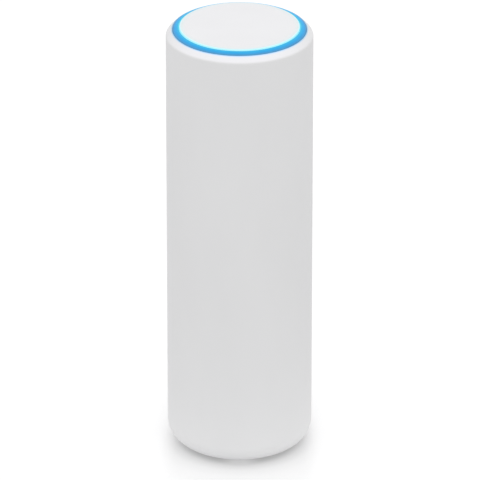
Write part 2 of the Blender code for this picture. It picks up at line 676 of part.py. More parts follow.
def top_cap():
    """Flat disc with a soft edge, a seating rib and three clips that hold the ring's ledge."""
    rib_outer = CAP_RADIUS - CAP_RIB_INSET
    rib_inner = rib_outer - CAP_RIB_WIDTH
    rib_bottom = LEDGE_TOP + CLEAR
    cap = turned("top_cap", rounded([
        (0.0, BODY_HEIGHT, 0),
        (CAP_RADIUS, BODY_HEIGHT, CAP_EDGE),
        (CAP_RADIUS, CAP_UNDERSIDE, 0),
        (rib_outer, CAP_UNDERSIDE, 0),
        (rib_outer, rib_bottom, 0),
        (rib_inner, rib_bottom, 0),
        (rib_inner, CAP_UNDERSIDE, 0),
        (0.0, CAP_UNDERSIDE, 0)]), CAP_PLASTIC, TOP_STEPS, closed=False)
    clips(cap, LEDGE_INNER - CLEAR - CLIP_WIDTH, LEDGE_INNER + CAP_CLIP_HOLD, CAP_CLIP_ANGLES, CLIP_WIDTH,
          CAP_UNDERSIDE, LEDGE_BOTTOM - CLEAR - CLIP_BARB, CLIP_BARB)


def base_cover():
    """Round cover with two finger recesses, a seat for the rubber foot and four bayonet hooks."""
    seat_top = FOOT_HEIGHT + CLEAR
    cover = turned("base_cover", rounded([
        (0.0, COVER_TOP, 0),
        (COVER_RADIUS, COVER_TOP, 0),
        (COVER_RADIUS, COVER_BOTTOM, COVER_EDGE),
        (FOOT_OUTER_RADIUS + CLEAR, COVER_BOTTOM, 0),
        (FOOT_OUTER_RADIUS + CLEAR, seat_top, 0),
        (FOOT_INNER_RADIUS - CLEAR, seat_top, 0),
        (FOOT_INNER_RADIUS - CLEAR, COVER_BOTTOM, 0),
        (0.0, COVER_BOTTOM, 0)]), WHITE_PLASTIC, INNER_STEPS, closed=False, base=COVER_BOTTOM)
    clips(cover, HOOK_INNER, COVER_RADIUS, HOOK_ANGLES, HOOK_WALL, COVER_TOP, LUG_TOP, LUG_HEIGHT)
    grips = [(x, 0.0, COVER_BOTTOM, GRIP_RADIUS, 2 * GRIP_DEPTH)
             for x in (-GRIP_SPACING / 2, GRIP_SPACING / 2)]
    cut(cover, pins("cover_grips", grips, segments=20))
    return cover


def rubber_foot(cover):
    foot = turned("rubber_foot", rounded([
        (FOOT_INNER_RADIUS, FOOT_HEIGHT, 0),
        (FOOT_OUTER_RADIUS, FOOT_HEIGHT, 0),
        (FOOT_OUTER_RADIUS, 0.0, FOOT_EDGE),
        (FOOT_INNER_RADIUS, 0.0, 0)]), PALE_RUBBER, INNER_STEPS)
    foot.parent = cover
    foot.matrix_parent_inverse = Matrix.Translation(-cover.location)


# ---- Port well, button and switch -------------------------------------------------------------
def port_well():
    """Cup over the socket: flange and skirt on the sleeve's floor, roof with socket window."""
    outer = WELL_RADIUS + WELL_WALL
    skirt_inner = RECESS_RADIUS + 2 * CLEAR
    well = turned("port_well", rounded([
        (0.0, ROOF_TOP, 0),
        (outer, ROOF_TOP, WELL_EDGE),
        (outer, FLANGE_TOP, 0),
        (CORE_RADIUS, FLANGE_TOP, 0),
        (CORE_RADIUS, FLANGE_BOTTOM, 0),
        (skirt_inner + SKIRT_WIDTH, FLANGE_BOTTOM, 0),
        (skirt_inner + SKIRT_WIDTH, LUG_BOTTOM, 0),
        (skirt_inner, LUG_BOTTOM, 0),
        (skirt_inner, FLANGE_BOTTOM, 0),
        (WELL_RADIUS, FLANGE_BOTTOM, 0),
        (WELL_RADIUS, ROOF_BOTTOM, 0),
        (0.0, ROOF_BOTTOM, 0)]), WHITE_PLASTIC, INNER_STEPS, closed=False)
    tower_middle = (FLANGE_TOP - LAP + ROOF_TOP) / 2
    towers = [(*polar(TOWER_RADIAL, a), tower_middle, TOWER_RADIUS, ROOF_TOP - FLANGE_TOP + LAP)
              for a in TOWER_ANGLES]
    fuse(well, pins("well_towers", towers))
    bosses = [(*polar(EAR_RADIUS, a), LUG_BOTTOM + EAR_BOSS_HEIGHT / 2, EAR_BOSS_RADIUS, EAR_BOSS_HEIGHT)
              for a in EAR_ANGLES]
    fuse(well, pins("ear_bosses", bosses))
    fuse(well, gussets(outer))
    hole_length = 2 * (SCREW_DEPTH + SCREW_TIP_GAP)
    tower_holes = [(*polar(TOWER_RADIAL, a), ROOF_TOP, SCREW_RADIUS + CLEAR, hole_length)
                   for a in TOWER_ANGLES]
    cut(well, pins("tower_holes", tower_holes))
    boss_holes = [(*polar(EAR_RADIUS, a), LUG_BOTTOM, SCREW_RADIUS + CLEAR, hole_length) for a in EAR_ANGLES]
    cut(well, pins("boss_holes", boss_holes))
    cut(well, blocks("socket_window", [(
        (-JACK_WIDTH / 2 - CLEAR, SEAT_Y - CLEAR, ROOF_BOTTOM - LAP),
        (JACK_WIDTH / 2 + CLEAR, JACK_FRONT + CLEAR, ROOF_TOP + LAP))]))
    cut(well, pins("button_guide", [(RESET_X, RESET_Y, ROOF_BOTTOM, BUTTON_RADIUS + CLEAR,
                                     2 * (ROOF_THICKNESS + THROUGH))]))
    half = CABLE_NOTCH_WIDTH / 2
    cut(well, blocks("flange_notch", [((-half, WELL_RADIUS - 2 * THROUGH, LUG_BOTTOM - LAP),
                                       (half, BODY_RADIUS, FLANGE_TOP + LAP))]))


def gussets(inner):
    """Wedges that brace the flange to the cup's wall."""
    reach = CORE_RADIUS - inner - GUSSET_INSET
    base_z = FLANGE_TOP - LAP
    size = Vector((reach + LAP, GUSSET_WIDTH, GUSSET_HEIGHT))
    middle = Vector((inner - LAP + size.x / 2, 0.0, base_z + size.z / 2))
    work = bmesh.new()
    for angle in GUSSET_ANGLES:
        made = bmesh.ops.create_cube(work, size=1.0,
                                     matrix=Matrix.Translation(middle) @ Matrix.Diagonal((*size, 1.0)))
        for vert in made["verts"]:
            if vert.co.x > middle.x and vert.co.z > middle.z:
                vert.co.z = base_z + GUSSET_TOE
        bmesh.ops.rotate(work, verts=made["verts"], cent=(0.0, 0.0, 0.0),
                         matrix=Matrix.Rotation(math.radians(angle), 3, "Z"))
    return from_bmesh("well_gussets", work, None)


def reset_button():
    """Plunger through the well's roof, kept by a collar, with the switch's own plunger above."""
    tip = ROOF_BOTTOM - BUTTON_PROUD
    collar = ROOF_TOP + CLEAR
    stem_top = FRAME_BASE_TOP + BUTTON_STEM_ABOVE
    button = turned("reset_button", [
        (0.0, stem_top),
        (BUTTON_STEM_RADIUS, stem_top),
        (BUTTON_STEM_RADIUS, collar + BUTTON_COLLAR_HEIGHT),
        (BUTTON_COLLAR_RADIUS, collar + BUTTON_COLLAR_HEIGHT),
        (BUTTON_COLLAR_RADIUS, collar),
        (BUTTON_RADIUS, collar),
        (BUTTON_RADIUS, tip + BUTTON_EDGE),
        (BUTTON_RADIUS - BUTTON_EDGE, tip),
        (0.0, tip)], GREY_PLASTIC, 16, closed=False, base=tip)
    button.location.x = RESET_X
    button.location.y = RESET_Y
    plunger_low = stem_top + CLEAR
    plunger = pins("switch_plunger", [(RESET_X, RESET_Y, plunger_low + PLUNGER_LENGTH / 2,
                                       PLUNGER_RADIUS, PLUNGER_LENGTH)], finish=BLACK_PLASTIC)
    bpy.context.view_layer.update()
    plunger.parent = button
    plunger.matrix_parent_inverse = button.matrix_world.inverted()
    low = plunger_low + PLUNGER_SHOWN
    switch = blocks("reset_switch", [(
        (RESET_X - SWITCH_HALF_WIDTH, SEAT_Y, low),
        (RESET_X + SWITCH_HALF_WIDTH, RESET_Y + SWITCH_FRONT, low + SWITCH_HEIGHT))], STEEL)
    hole_low = low - THROUGH
    hole_top = plunger_low + PLUNGER_LENGTH + BUTTON_TRAVEL + CLEAR
    cut(switch, pins("plunger_hole", [(RESET_X, RESET_Y, (hole_low + hole_top) / 2,
                                       PLUNGER_RADIUS + CLEAR, hole_top - hole_low)]))


# ---- Network socket ---------------------------------------------------------------------------
def network_socket():
    """Pressed shell, moulded insert with its stepped opening, and the comb of sprung wires."""
    half = JACK_WIDTH / 2
    shell = blocks("jack_shell", [((-half, SEAT_Y, JACK_BOTTOM), (half, JACK_FRONT, JACK_TOP))], STEEL)
    cut(shell, blocks("shell_hollow", [(
        (-half + JACK_SHEET, SEAT_Y + JACK_SHEET, JACK_BOTTOM - THROUGH),
        (half - JACK_SHEET, JACK_FRONT - JACK_SHEET, JACK_TOP - JACK_SHEET))]))
    for i, slit in enumerate(spring_slits()):
        cut(shell, blocks("spring_slit_%d" % i, [slit]))

    margin = JACK_SHEET + CLEAR
    insert_low = JACK_BOTTOM + CLEAR
    insert = blocks("jack_insert", [((-half + margin, SEAT_Y + margin, insert_low),
                                     (half - margin, JACK_FRONT - margin, JACK_TOP - margin))],
                    BLACK_PLASTIC)
    socket_back = JACK_CENTRE_Y - SOCKET_HEIGHT / 2 + SOCKET_OFF_CENTRE
    socket_front = socket_back + SOCKET_HEIGHT
    mouth = JACK_BOTTOM - THROUGH
    cut(insert, blocks("socket_space", [((-SOCKET_WIDTH / 2, socket_back, mouth),
                                         (SOCKET_WIDTH / 2, socket_front, insert_low + SOCKET_DEPTH))]))
    cut(insert, blocks("latch_space", [((-LATCH_WIDTH / 2, socket_front - LAP, mouth),
                                        (LATCH_WIDTH / 2, socket_front + LATCH_HEIGHT,
                                         insert_low + LATCH_DEPTH))]))
    comb_half = CONTACT_PITCH * CONTACT_COUNT / 2 + COMB_SIDE
    comb_back = socket_back - COMB_THICKNESS - CLEAR
    comb_low = insert_low + COMB_INSET
    comb_high = insert_low + SOCKET_DEPTH - COMB_INSET
    cut(insert, blocks("comb_pocket", [(
        (-comb_half - CLEAR, comb_back - CLEAR, comb_low - CLEAR),
        (comb_half + CLEAR, socket_back + LAP, comb_high + CLEAR))]))
    comb = blocks("contact_comb", [((-comb_half, comb_back, comb_low),
                                    (comb_half, comb_back + COMB_THICKNESS, comb_high))], BRASS)
    fuse(comb, contact_wires(comb_back + COMB_THICKNESS, comb_low + CONTACT_FOOT))


def spring_slits():
    """Slits in both sides of the shell that free a spring tongue: one across its tip, two beside it."""
    tip = JACK_BOTTOM + SPRING_FOOT
    slits = []
    for side in (-1, 1):
        low_x = side * JACK_WIDTH / 2 - THROUGH
        high_x = side * JACK_WIDTH / 2 + THROUGH
        slits.append(((low_x, JACK_CENTRE_Y - SPRING_HALF_WIDTH, tip),
                      (high_x, JACK_CENTRE_Y + SPRING_HALF_WIDTH, tip + SPRING_SLOT)))
        for start in (-SPRING_HALF_WIDTH, SPRING_HALF_WIDTH - SPRING_SLOT):
            slits.append(((low_x, JACK_CENTRE_Y + start, tip + SPRING_SLOT / 2),
                          (high_x, JACK_CENTRE_Y + start + SPRING_SLOT, tip + SPRING_HEIGHT)))
    return slits


def contact_wires(seat, low):
    """Eight flat wires that rise from the comb into the socket at a shallow slope."""
    work = bmesh.new()
    for i in range(CONTACT_COUNT):
        x = (i - (CONTACT_COUNT - 1) / 2) * CONTACT_PITCH
        root = Matrix.Translation((x, seat - CONTACT_THICKNESS, low))
        lean = Matrix.Rotation(math.radians(-CONTACT_SLOPE), 4, "X")
        run = Matrix.Translation((0.0, 0.0, CONTACT_LENGTH / 2))
        size = Matrix.Diagonal((CONTACT_WIDTH, CONTACT_THICKNESS, CONTACT_LENGTH, 1.0))
        bmesh.ops.create_cube(work, size=1.0, matrix=root @ lean @ run @ size)
    return from_bmesh("contact_wires", work, None)


# ---- Main board and what it carries -----------------------------------------------------------
def board_screw_spots():
    return [(x, z) for x in (-BOARD_SCREW_X, BOARD_SCREW_X) for z in BOARD_SCREW_LEVELS]


def main_board():
    """Upright board with its screw holes and the connector of the light board's cable."""
    board = blocks("main_board", [((-BOARD_HALF, BOARD_BACK, BOARD_BOTTOM),
                                   (BOARD_HALF, BOARD_FRONT, BOARD_TOP))], BOARD_GREEN)
    holes = [(x, (BOARD_BACK + BOARD_FRONT) / 2, z, SCREW_RADIUS + CLEAR, 2 * BOARD_THICKNESS)
             for x, z in board_screw_spots()]
    cut(board, pins("board_holes", holes, axis="Y"))
    fuse(board, blocks("flex_connector", [(
        (-FLEX_SOCKET_WIDTH / 2, BOARD_FRONT - LAP, FLEX_SOCKET_TOP - FLEX_SOCKET_HEIGHT),
        (FLEX_SOCKET_WIDTH / 2, BOARD_FRONT + FLEX_SOCKET_DEPTH, FLEX_SOCKET_TOP))]))


def on_board(name, x, z, width, height, depth, edge, finish):
    """A boxed part with chamfered edges on the board's front face, centred at x and z."""
    part = blocks(name, [((x - width / 2, SEAT_Y, z - height / 2),
                          (x + width / 2, SEAT_Y + depth, z + height / 2))], finish)
    soften = part.modifiers.new("soften", "BEVEL")
    soften.width = edge
    soften.segments = 1
    return part


def board_parts():
    """From the socket up: network transformer, then power transformer and inductor, then the shields."""
    on_board("network_transformer", 0.0, NETWORK_COIL_Z, NETWORK_COIL_WIDTH, NETWORK_COIL_HEIGHT,
             NETWORK_COIL_DEPTH, NETWORK_COIL_EDGE, BLACK_PLASTIC)
    on_board("power_inductor", INDUCTOR_X, POWER_COIL_Z, INDUCTOR_SIZE, INDUCTOR_SIZE, INDUCTOR_DEPTH,
             INDUCTOR_EDGE, FERRITE)
    for i in range(2):
        z = BOARD_BOTTOM + CAPACITOR_LEVEL + i * CAPACITOR_PITCH
        can = pins("bulk_capacitor_%d" % (i + 1), [(CAPACITOR_X, SEAT_Y + CAPACITOR_HEIGHT / 2, z,
                                                    CAPACITOR_RADIUS, CAPACITOR_HEIGHT)],
                   axis="Y", finish=ALUMINIUM, segments=20)
        soften = can.modifiers.new("soften", "BEVEL")
        soften.width = CAPACITOR_EDGE
        soften.segments = 1
        soften.limit_method = "ANGLE"
    power_transformer()
    for i, side in enumerate((-1, 1)):
        shield_can("shield_can_%d" % (i + 1), side * (SHIELD_WIDTH + SHIELD_SPACING) / 2)


def power_transformer():
    """Ferrite core halves round a wound bobbin, as one potted block with its waist."""
    block = on_board("power_transformer", POWER_COIL_X, POWER_COIL_Z, POWER_COIL_SIZE, POWER_COIL_SIZE,
                     POWER_COIL_DEPTH, POWER_COIL_EDGE, FERRITE)
    waist = []
    for side in (-1, 1):
        x = POWER_COIL_X + side * POWER_COIL_SIZE / 2
        waist.append(((x - COIL_WAIST, SEAT_Y + COIL_CORE, POWER_COIL_Z - POWER_COIL_SIZE),
                      (x + COIL_WAIST, SEAT_Y + POWER_COIL_DEPTH - COIL_CORE,
                       POWER_COIL_Z + POWER_COIL_SIZE)))
    cut(block, blocks("transformer_waist", waist))


def shield_can(name, x):
    """Pressed lid with rounded corners and two rows of cooling holes."""
    z = SHIELD_BOTTOM + SHIELD_HEIGHT / 2
    half, tall = SHIELD_WIDTH / 2, SHIELD_HEIGHT / 2
    outline = rounded([(x - half, z - tall, SHIELD_CORNER), (x + half, z - tall, SHIELD_CORNER),
                       (x + half, z + tall, SHIELD_CORNER), (x - half, z + tall, SHIELD_CORNER)])
    front = SEAT_Y + SHIELD_DEPTH
    can = extruded(name, [outline], SEAT_Y, front, STEEL, along="Y")
    cut(can, blocks(name + "_hollow", [(
        (x - half + SHIELD_SHEET, SEAT_Y - THROUGH, z - tall + SHIELD_SHEET),
        (x + half - SHIELD_SHEET, front - SHIELD_SHEET, z + tall - SHIELD_SHEET))]))
    holes = [(x + column * SHIELD_HOLE_PITCH, front, z + row * SHIELD_HOLE_PITCH, SHIELD_HOLE_RADIUS,
              2 * THROUGH) for column in (-1, 1) for row in (-2, 0, 2)]
    cut(can, pins(name + "_holes", holes, axis="Y", segments=6))


def chip(name, x, top, width, height):
    """A flat chip on the board's back face, with its upper edge at top."""
    blocks(name, [((x - width / 2, CHIP_BACK - CHIP_HEIGHT, top - height),
                   (x + width / 2, CHIP_BACK, top))], BLACK_PLASTIC)


def chips_and_pads():
    """Chips on the board's back face. The hot ones reach the heat sink through thermal pads."""
    radio_z = BOARD_TOP - RADIO_CHIP_DROP
    layout = (("processor", "thermal_pad_1", 0.0, PROCESSOR_Z, PROCESSOR_SIZE),
              ("radio_chip_1", "thermal_pad_2", -RADIO_CHIP_X, radio_z, RADIO_CHIP_SIZE),
              ("radio_chip_2", "thermal_pad_3", RADIO_CHIP_X, radio_z, RADIO_CHIP_SIZE))
    for name, pad, x, z, size in layout:
        chip(name, x, z + size / 2, size, size)
        half = size / 2 - PAD_MARGIN
        blocks(pad, [((x - half, PAD_FACE - PAD_HEIGHT, z - half), (x + half, PAD_FACE, z + half))], PAD_GREY)
    chip("memory_chip", MEMORY_X, MEMORY_TOP, MEMORY_WIDTH, MEMORY_HEIGHT)
    chip("flash_chip", FLASH_X, MEMORY_TOP, FLASH_WIDTH, FLASH_HEIGHT)


def heat_sink():
    """Extruded sink: flat base on the chips and fins whose tips follow the sleeve's bore."""
    outline = [(-SINK_HALF_WIDTH, SINK_FACE), (SINK_HALF_WIDTH, SINK_FACE)]
    pitch = (2 * SINK_HALF_WIDTH - FIN_THICKNESS) / (FIN_COUNT - 1)
    for i in range(FIN_COUNT):
        right = SINK_HALF_WIDTH - i * pitch
        left = right - FIN_THICKNESS
        if i > 0:
            outline.append((right, SINK_BACK))
        for x in (right, left):
            outline.append((x, -math.sqrt(SINK_REACH ** 2 - x ** 2)))
        if i < FIN_COUNT - 1:
            outline.append((left, SINK_BACK))
    sink = extruded("heat_sink", [outline], SINK_BOTTOM, SINK_TOP, ALUMINIUM)
    middle = (CHIP_BACK + SINK_FACE - LAP) / 2
    fuse(sink, pins("sink_bosses", [(x, middle, z, SINK_BOSS_RADIUS, CHIP_BACK - SINK_FACE + LAP)
                                    for x, z in board_screw_spots()], axis="Y"))
    cut(sink, pins("sink_holes", [(x, CHIP_BACK, z, SCREW_RADIUS + CLEAR, 2 * SINK_HOLE_DEPTH)
                                  for x, z in board_screw_spots()], axis="Y"))


# ---- Inner frame, antennas and cables ---------------------------------------------------------
def antenna_frame():
    """Moulded carrier: base ring, two grooved rails, curved antenna wall and top collar."""
    base_inner = WELL_RADIUS + WELL_WALL
    frame = turned("antenna_frame", [
        (FRAME_RADIUS, FRAME_BASE_TOP), (FRAME_RADIUS, FRAME_BOTTOM),
        (base_inner, FRAME_BOTTOM), (base_inner, FRAME_BASE_TOP)], GREY_PLASTIC)
    rails = []
    for side in (-1, 1):
        near, far = sorted((side * RAIL_INNER, side * RAIL_OUTER))
        rails.append(((near, RAIL_BACK, FRAME_BASE_TOP - LAP), (far, RAIL_FRONT, COLLAR_BOTTOM + LAP)))
    fuse(frame, blocks("frame_rails", rails))
    join_angle = math.degrees(math.asin((RAIL_FRONT - 2 * LAP) / CARRIER_INNER))
    fuse(frame, extruded("carrier_wall", [sector(CARRIER_INNER, CARRIER_OUTER, join_angle,
                                                 180.0 - join_angle, 20)],
                         CARRIER_BOTTOM, COLLAR_BOTTOM + LAP))
    fuse(frame, turned("frame_collar", [
        (CORE_RADIUS, COLLAR_TOP), (CORE_RADIUS, COLLAR_BOTTOM),
        (COLLAR_INNER, COLLAR_BOTTOM), (COLLAR_INNER, COLLAR_TOP)]))
    grooves = []
    for side in (-1, 1):
        near, far = sorted((side * (RAIL_INNER - THROUGH), side * GROOVE_X))
        grooves.append(((near, BOARD_BACK - CLEAR, FRAME_BASE_TOP), (far, BOARD_FRONT + CLEAR, BODY_HEIGHT)))
    cut(frame, blocks("rail_grooves", grooves))
    window_low = CARRIER_BOTTOM + WINDOW_SILL
    cut(frame, extruded("carrier_windows", sectors(CARRIER_INNER - THROUGH, CARRIER_OUTER + THROUGH,
                                                   WINDOW_ANGLES, WINDOW_HALF_ANGLE),
                        window_low, window_low + WINDOW_HEIGHT))
    cut(frame, radial_pins("feed_holes", [(a, FEED_Z) for a in ANTENNA_ANGLES], CARRIER_INNER - THROUGH,
                           CARRIER_OUTER + THROUGH, COAX_RADIUS + 2 * CLEAR))
    fuse(frame, radial_pins("antenna_pegs", peg_spots(), CARRIER_OUTER - LAP, ANTENNA_OUTER + CLEAR,
                            PEG_RADIUS, 6))
    cut(frame, pins("frame_holes", [(*polar(TOWER_RADIAL, a), FRAME_BASE_TOP, SCREW_RADIUS + CLEAR,
                                     2 * (FRAME_BASE + THROUGH)) for a in TOWER_ANGLES], segments=12))


def peg_spots():
    levels = (ANTENNA_BOTTOM + PEG_ABOVE_FOOT, ANTENNA_TOP - PEG_BELOW_TOP)
    return [(a, z) for a in ANTENNA_ANGLES for z in levels]


def antennas():
    """Four stamped strips bent to the carrier, each with two slots and two peg holes."""
    near, far = ANTENNA_INNER - THROUGH, ANTENNA_OUTER + THROUGH
    for i, angle in enumerate(ANTENNA_ANGLES):
        start, end = angle - ANTENNA_HALF_ANGLE, angle + ANTENNA_HALF_ANGLE
        name = "antenna_%d" % (i + 1)
        strip = extruded(name, [sector(ANTENNA_INNER, ANTENNA_OUTER, start, end, 5)],
                         ANTENNA_BOTTOM, ANTENNA_TOP, BRASS)
        low = FEED_Z + ANTENNA_SLOT_LOW
        slot = sector(near, far, start - ENTRY_SPARE_ANGLE, angle + ANTENNA_SLOT_ANGLE, 5)
        cut(strip, extruded(name + "_low_slot", [slot], low, low + ANTENNA_SLOT))
        low = FEED_Z + ANTENNA_SLOT_HIGH
        slot = sector(near, far, angle - ANTENNA_SLOT_ANGLE, end + ENTRY_SPARE_ANGLE, 5)
        cut(strip, extruded(name + "_high_slot", [slot], low, low + ANTENNA_SLOT))
        holes = [spot for spot in peg_spots() if spot[0] == angle]
        cut(strip, radial_pins(name + "_holes", holes, near, far, PEG_RADIUS + CLEAR, 6))


def antenna_cables():
    """Each cable rises from its plug on the board and runs out through the carrier's feed hole."""
    last = len(ANTENNA_ANGLES) - 1
    for i, angle in enumerate(ANTENNA_ANGLES):
        x = PLUG_X * (2 * i - last) / last
        pins("antenna_plug_%d" % (i + 1), [(x, SEAT_Y + PLUG_HEIGHT / 2, PLUG_Z, PLUG_RADIUS, PLUG_HEIGHT)],
             axis="Y", finish=BRASS)
        start = Vector((x, SEAT_Y + PLUG_HEIGHT / 2, PLUG_Z + PLUG_RADIUS + CLEAR))
        end = Vector((*polar(CARRIER_OUTER, angle), FEED_Z))
        outward = Vector((*polar(1.0, angle), 0.0))
        route = bend(start, Vector((0.0, 0.0, CABLE_RISE)), end, outward * CABLE_RUN_OUT, 11)
        tube("antenna_cable_%d" % (i + 1), route, COAX_RADIUS, BLACK_PLASTIC)


# ---- Light board and its flexible cable -------------------------------------------------------
def light_board():
    """Ring board with lamps under the light ring and a tongue that carries the connector."""
    inner = COLLAR_INNER + CLEAR
    board = turned("light_board", [
        (CORE_RADIUS, LIGHT_BOARD_TOP), (CORE_RADIUS, LIGHT_BOARD_BOTTOM),
        (inner, LIGHT_BOARD_BOTTOM), (inner, LIGHT_BOARD_TOP)], WHITE_PLASTIC)
    half = TONGUE_WIDTH / 2
    fuse(board, blocks("board_tongue", [((-half, -inner - THROUGH, LIGHT_BOARD_BOTTOM),
                                         (half, TONGUE_END, LIGHT_BOARD_TOP))]))
    front = TONGUE_END - TONGUE_SOCKET_INSET
    fuse(board, blocks("tongue_connector", [(
        (-TONGUE_SOCKET_WIDTH / 2, front - TONGUE_SOCKET_LENGTH, LIGHT_BOARD_BOTTOM - TONGUE_SOCKET_HEIGHT),
        (TONGUE_SOCKET_WIDTH / 2, front, LIGHT_BOARD_BOTTOM + LAP))]))
    work = bmesh.new()
    middle = (RING_INNER + CORE_RADIUS) / 2
    for i in range(LAMP_COUNT):
        angle = math.radians(RING_CLIP_ANGLES[0] + (i + 0.5) * 360.0 / LAMP_COUNT)
        spot = Matrix.Translation((middle, 0.0, LIGHT_BOARD_TOP + (LAMP_HEIGHT - LAP) / 2))
        size = Matrix.Diagonal((LAMP_WIDTH, LAMP_LENGTH, LAMP_HEIGHT + LAP, 1.0))
        bmesh.ops.create_cube(work, size=1.0, matrix=Matrix.Rotation(angle, 4, "Z") @ spot @ size)
    fuse(board, from_bmesh("board_lamps", work, None))


def light_flex():
    """Flat flexible cable from the board's connector up and over to the tongue's connector."""
    start = Vector((0.0, BOARD_FRONT + FLEX_SOCKET_DEPTH / 2, FLEX_SOCKET_TOP + CLEAR))
    end = Vector((0.0, TONGUE_END - TONGUE_SOCKET_INSET + CLEAR,
                  LIGHT_BOARD_BOTTOM - TONGUE_SOCKET_HEIGHT / 2))
    route = bend(start, Vector((0.0, 0.0, end.z - start.z)), end, Vector((0.0, -FLEX_BEND, 0.0)), 14)
    verts = [(side * FLEX_WIDTH / 2, p.y, p.z) for p in route for side in (-1, 1)]
    faces = [(2 * i, 2 * i + 1, 2 * i + 3, 2 * i + 2) for i in range(len(route) - 1)]
    mesh = bpy.data.meshes.new("light_flex")
    mesh.from_pydata(verts, [], faces)
    shade(mesh)
    flex = bpy.data.objects.new("light_flex", mesh)
    thicken = flex.modifiers.new("thicken", "SOLIDIFY")
    thicken.thickness = FLEX_THICKNESS
    thicken.offset = 0.0
    place(flex, AMBER_FILM)


# ---- Screws -----------------------------------------------------------------------------------
def screw(name, seat, direction, length):
    """Pan-head screw whose head sits CLEAR off its seat and whose shank points along direction."""
    piece = turned(name, rounded([
        (0.0, SCREW_HEAD_HEIGHT - SCREW_SOCKET_DEPTH, 0),
        (SCREW_SOCKET_RADIUS, SCREW_HEAD_HEIGHT - SCREW_SOCKET_DEPTH, 0),
        (SCREW_SOCKET_RADIUS, SCREW_HEAD_HEIGHT, 0),
        (SCREW_HEAD_RADIUS, SCREW_HEAD_HEIGHT, 0),
        (SCREW_HEAD_RADIUS, 0.0, 0),
        (SCREW_RADIUS, 0.0, 0),
        (SCREW_RADIUS, -length, 0),
        (0.0, -length, 0)]), STEEL, 10, closed=False)
    piece.rotation_euler = {"down": (0.0, 0.0, 0.0), "up": (math.pi, 0.0, 0.0),
                            "back": (-math.pi / 2, 0.0, 0.0)}[direction]
    piece.location = seat


def screws():
    for i, angle in enumerate(EAR_ANGLES):
        screw("base_screw_%d" % (i + 1), (*polar(EAR_RADIUS, angle), FLOOR_BOTTOM - CLEAR), "up",
              FLOOR_THICKNESS + 2 * CLEAR + SCREW_DEPTH)
    for i, angle in enumerate(TOWER_ANGLES):
        screw("frame_screw_%d" % (i + 1), (*polar(TOWER_RADIAL, angle), FRAME_BASE_TOP + CLEAR), "down",
              FRAME_BASE + 2 * CLEAR + SCREW_DEPTH)
    for i, (x, z) in enumerate(board_screw_spots()):
        screw("board_screw_%d" % (i + 1), (x, SEAT_Y, z), "back",
              BOARD_THICKNESS + 2 * CLEAR + BOARD_SCREW_REACH)


outer_sleeve()
light_ring()
top_cap()
rubber_foot(base_cover())
port_well()
reset_button()
network_socket()
main_board()
board_parts()
chips_and_pads()
heat_sink()
antenna_frame()
antennas()
antenna_cables()
light_board()
light_flex()
screws()
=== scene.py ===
"""Looks of the mesh wifi node: a satin white sleeve, a lit ring and a flat cap on a pale floor.

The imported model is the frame. Every outer piece is rebuilt here with fine, rounded surfaces in the
space of its solid, and every other solid gets a finish of its own. Sizes are in metres, and angles
are in degrees.
"""
import json
import math

import bmesh
import bpy
from mathutils import Matrix, Vector

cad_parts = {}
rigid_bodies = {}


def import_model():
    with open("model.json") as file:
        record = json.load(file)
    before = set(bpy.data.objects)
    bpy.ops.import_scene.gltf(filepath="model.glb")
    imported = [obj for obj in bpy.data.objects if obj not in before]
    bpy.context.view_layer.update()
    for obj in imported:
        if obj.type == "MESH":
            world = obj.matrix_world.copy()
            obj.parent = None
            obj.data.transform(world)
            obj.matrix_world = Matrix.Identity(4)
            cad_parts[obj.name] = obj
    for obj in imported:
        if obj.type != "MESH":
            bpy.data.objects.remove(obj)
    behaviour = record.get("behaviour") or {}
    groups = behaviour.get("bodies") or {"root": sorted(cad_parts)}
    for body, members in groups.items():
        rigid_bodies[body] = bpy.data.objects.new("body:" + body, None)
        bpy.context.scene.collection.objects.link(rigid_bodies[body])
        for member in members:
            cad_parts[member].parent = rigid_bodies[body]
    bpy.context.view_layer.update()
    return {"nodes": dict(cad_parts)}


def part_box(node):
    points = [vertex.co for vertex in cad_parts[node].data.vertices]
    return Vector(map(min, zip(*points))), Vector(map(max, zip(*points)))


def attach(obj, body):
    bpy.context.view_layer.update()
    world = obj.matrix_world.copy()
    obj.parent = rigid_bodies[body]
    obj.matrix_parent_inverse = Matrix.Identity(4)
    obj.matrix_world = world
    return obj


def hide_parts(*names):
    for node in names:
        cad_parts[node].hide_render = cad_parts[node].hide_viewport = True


for leftover in list(bpy.data.objects):
    bpy.data.objects.remove(leftover, do_unlink=True)

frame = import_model()

MM = 0.001
# Air between two pieces, and how far a tool reaches into what it cuts or joins.
CLEAR = 0.3 * MM
SINK = 0.2 * MM

# ---- Fineness of the surfaces ------------------------------------------------------------------
TURN_STEPS = 240
SECTOR_STEPS = 16
PIN_SEGMENTS = 32
GRIP_SEGMENTS = 64
CHORD = 0.12 * MM
FEWEST_CHORDS = 4
MOST_CHORDS = 28
SHARP_ANGLE = 34.0
ON_AXIS = 1e-9

# ---- Levels and radii, read from the solids ----------------------------------------------------
SLEEVE_LOW, SLEEVE_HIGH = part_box("outer_sleeve")
RING_LOW, RING_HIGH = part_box("light_ring")
CAP_LOW, CAP_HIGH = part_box("top_cap")
COVER_LOW, COVER_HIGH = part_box("base_cover")
FOOT_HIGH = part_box("rubber_foot")[1]
LIGHT_BOARD_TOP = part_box("light_board")[1].z

BODY_RADIUS = SLEEVE_HIGH.x
BODY_BOTTOM = SLEEVE_LOW.z
LIP_Z = SLEEVE_HIGH.z
TOP_Z = CAP_HIGH.z
CAP_RADIUS = CAP_HIGH.x
CORE_RADIUS = RING_HIGH.x
COVER_RADIUS = COVER_HIGH.x
COVER_BOTTOM = COVER_LOW.z
FOOT_RADIUS = FOOT_HIGH.x

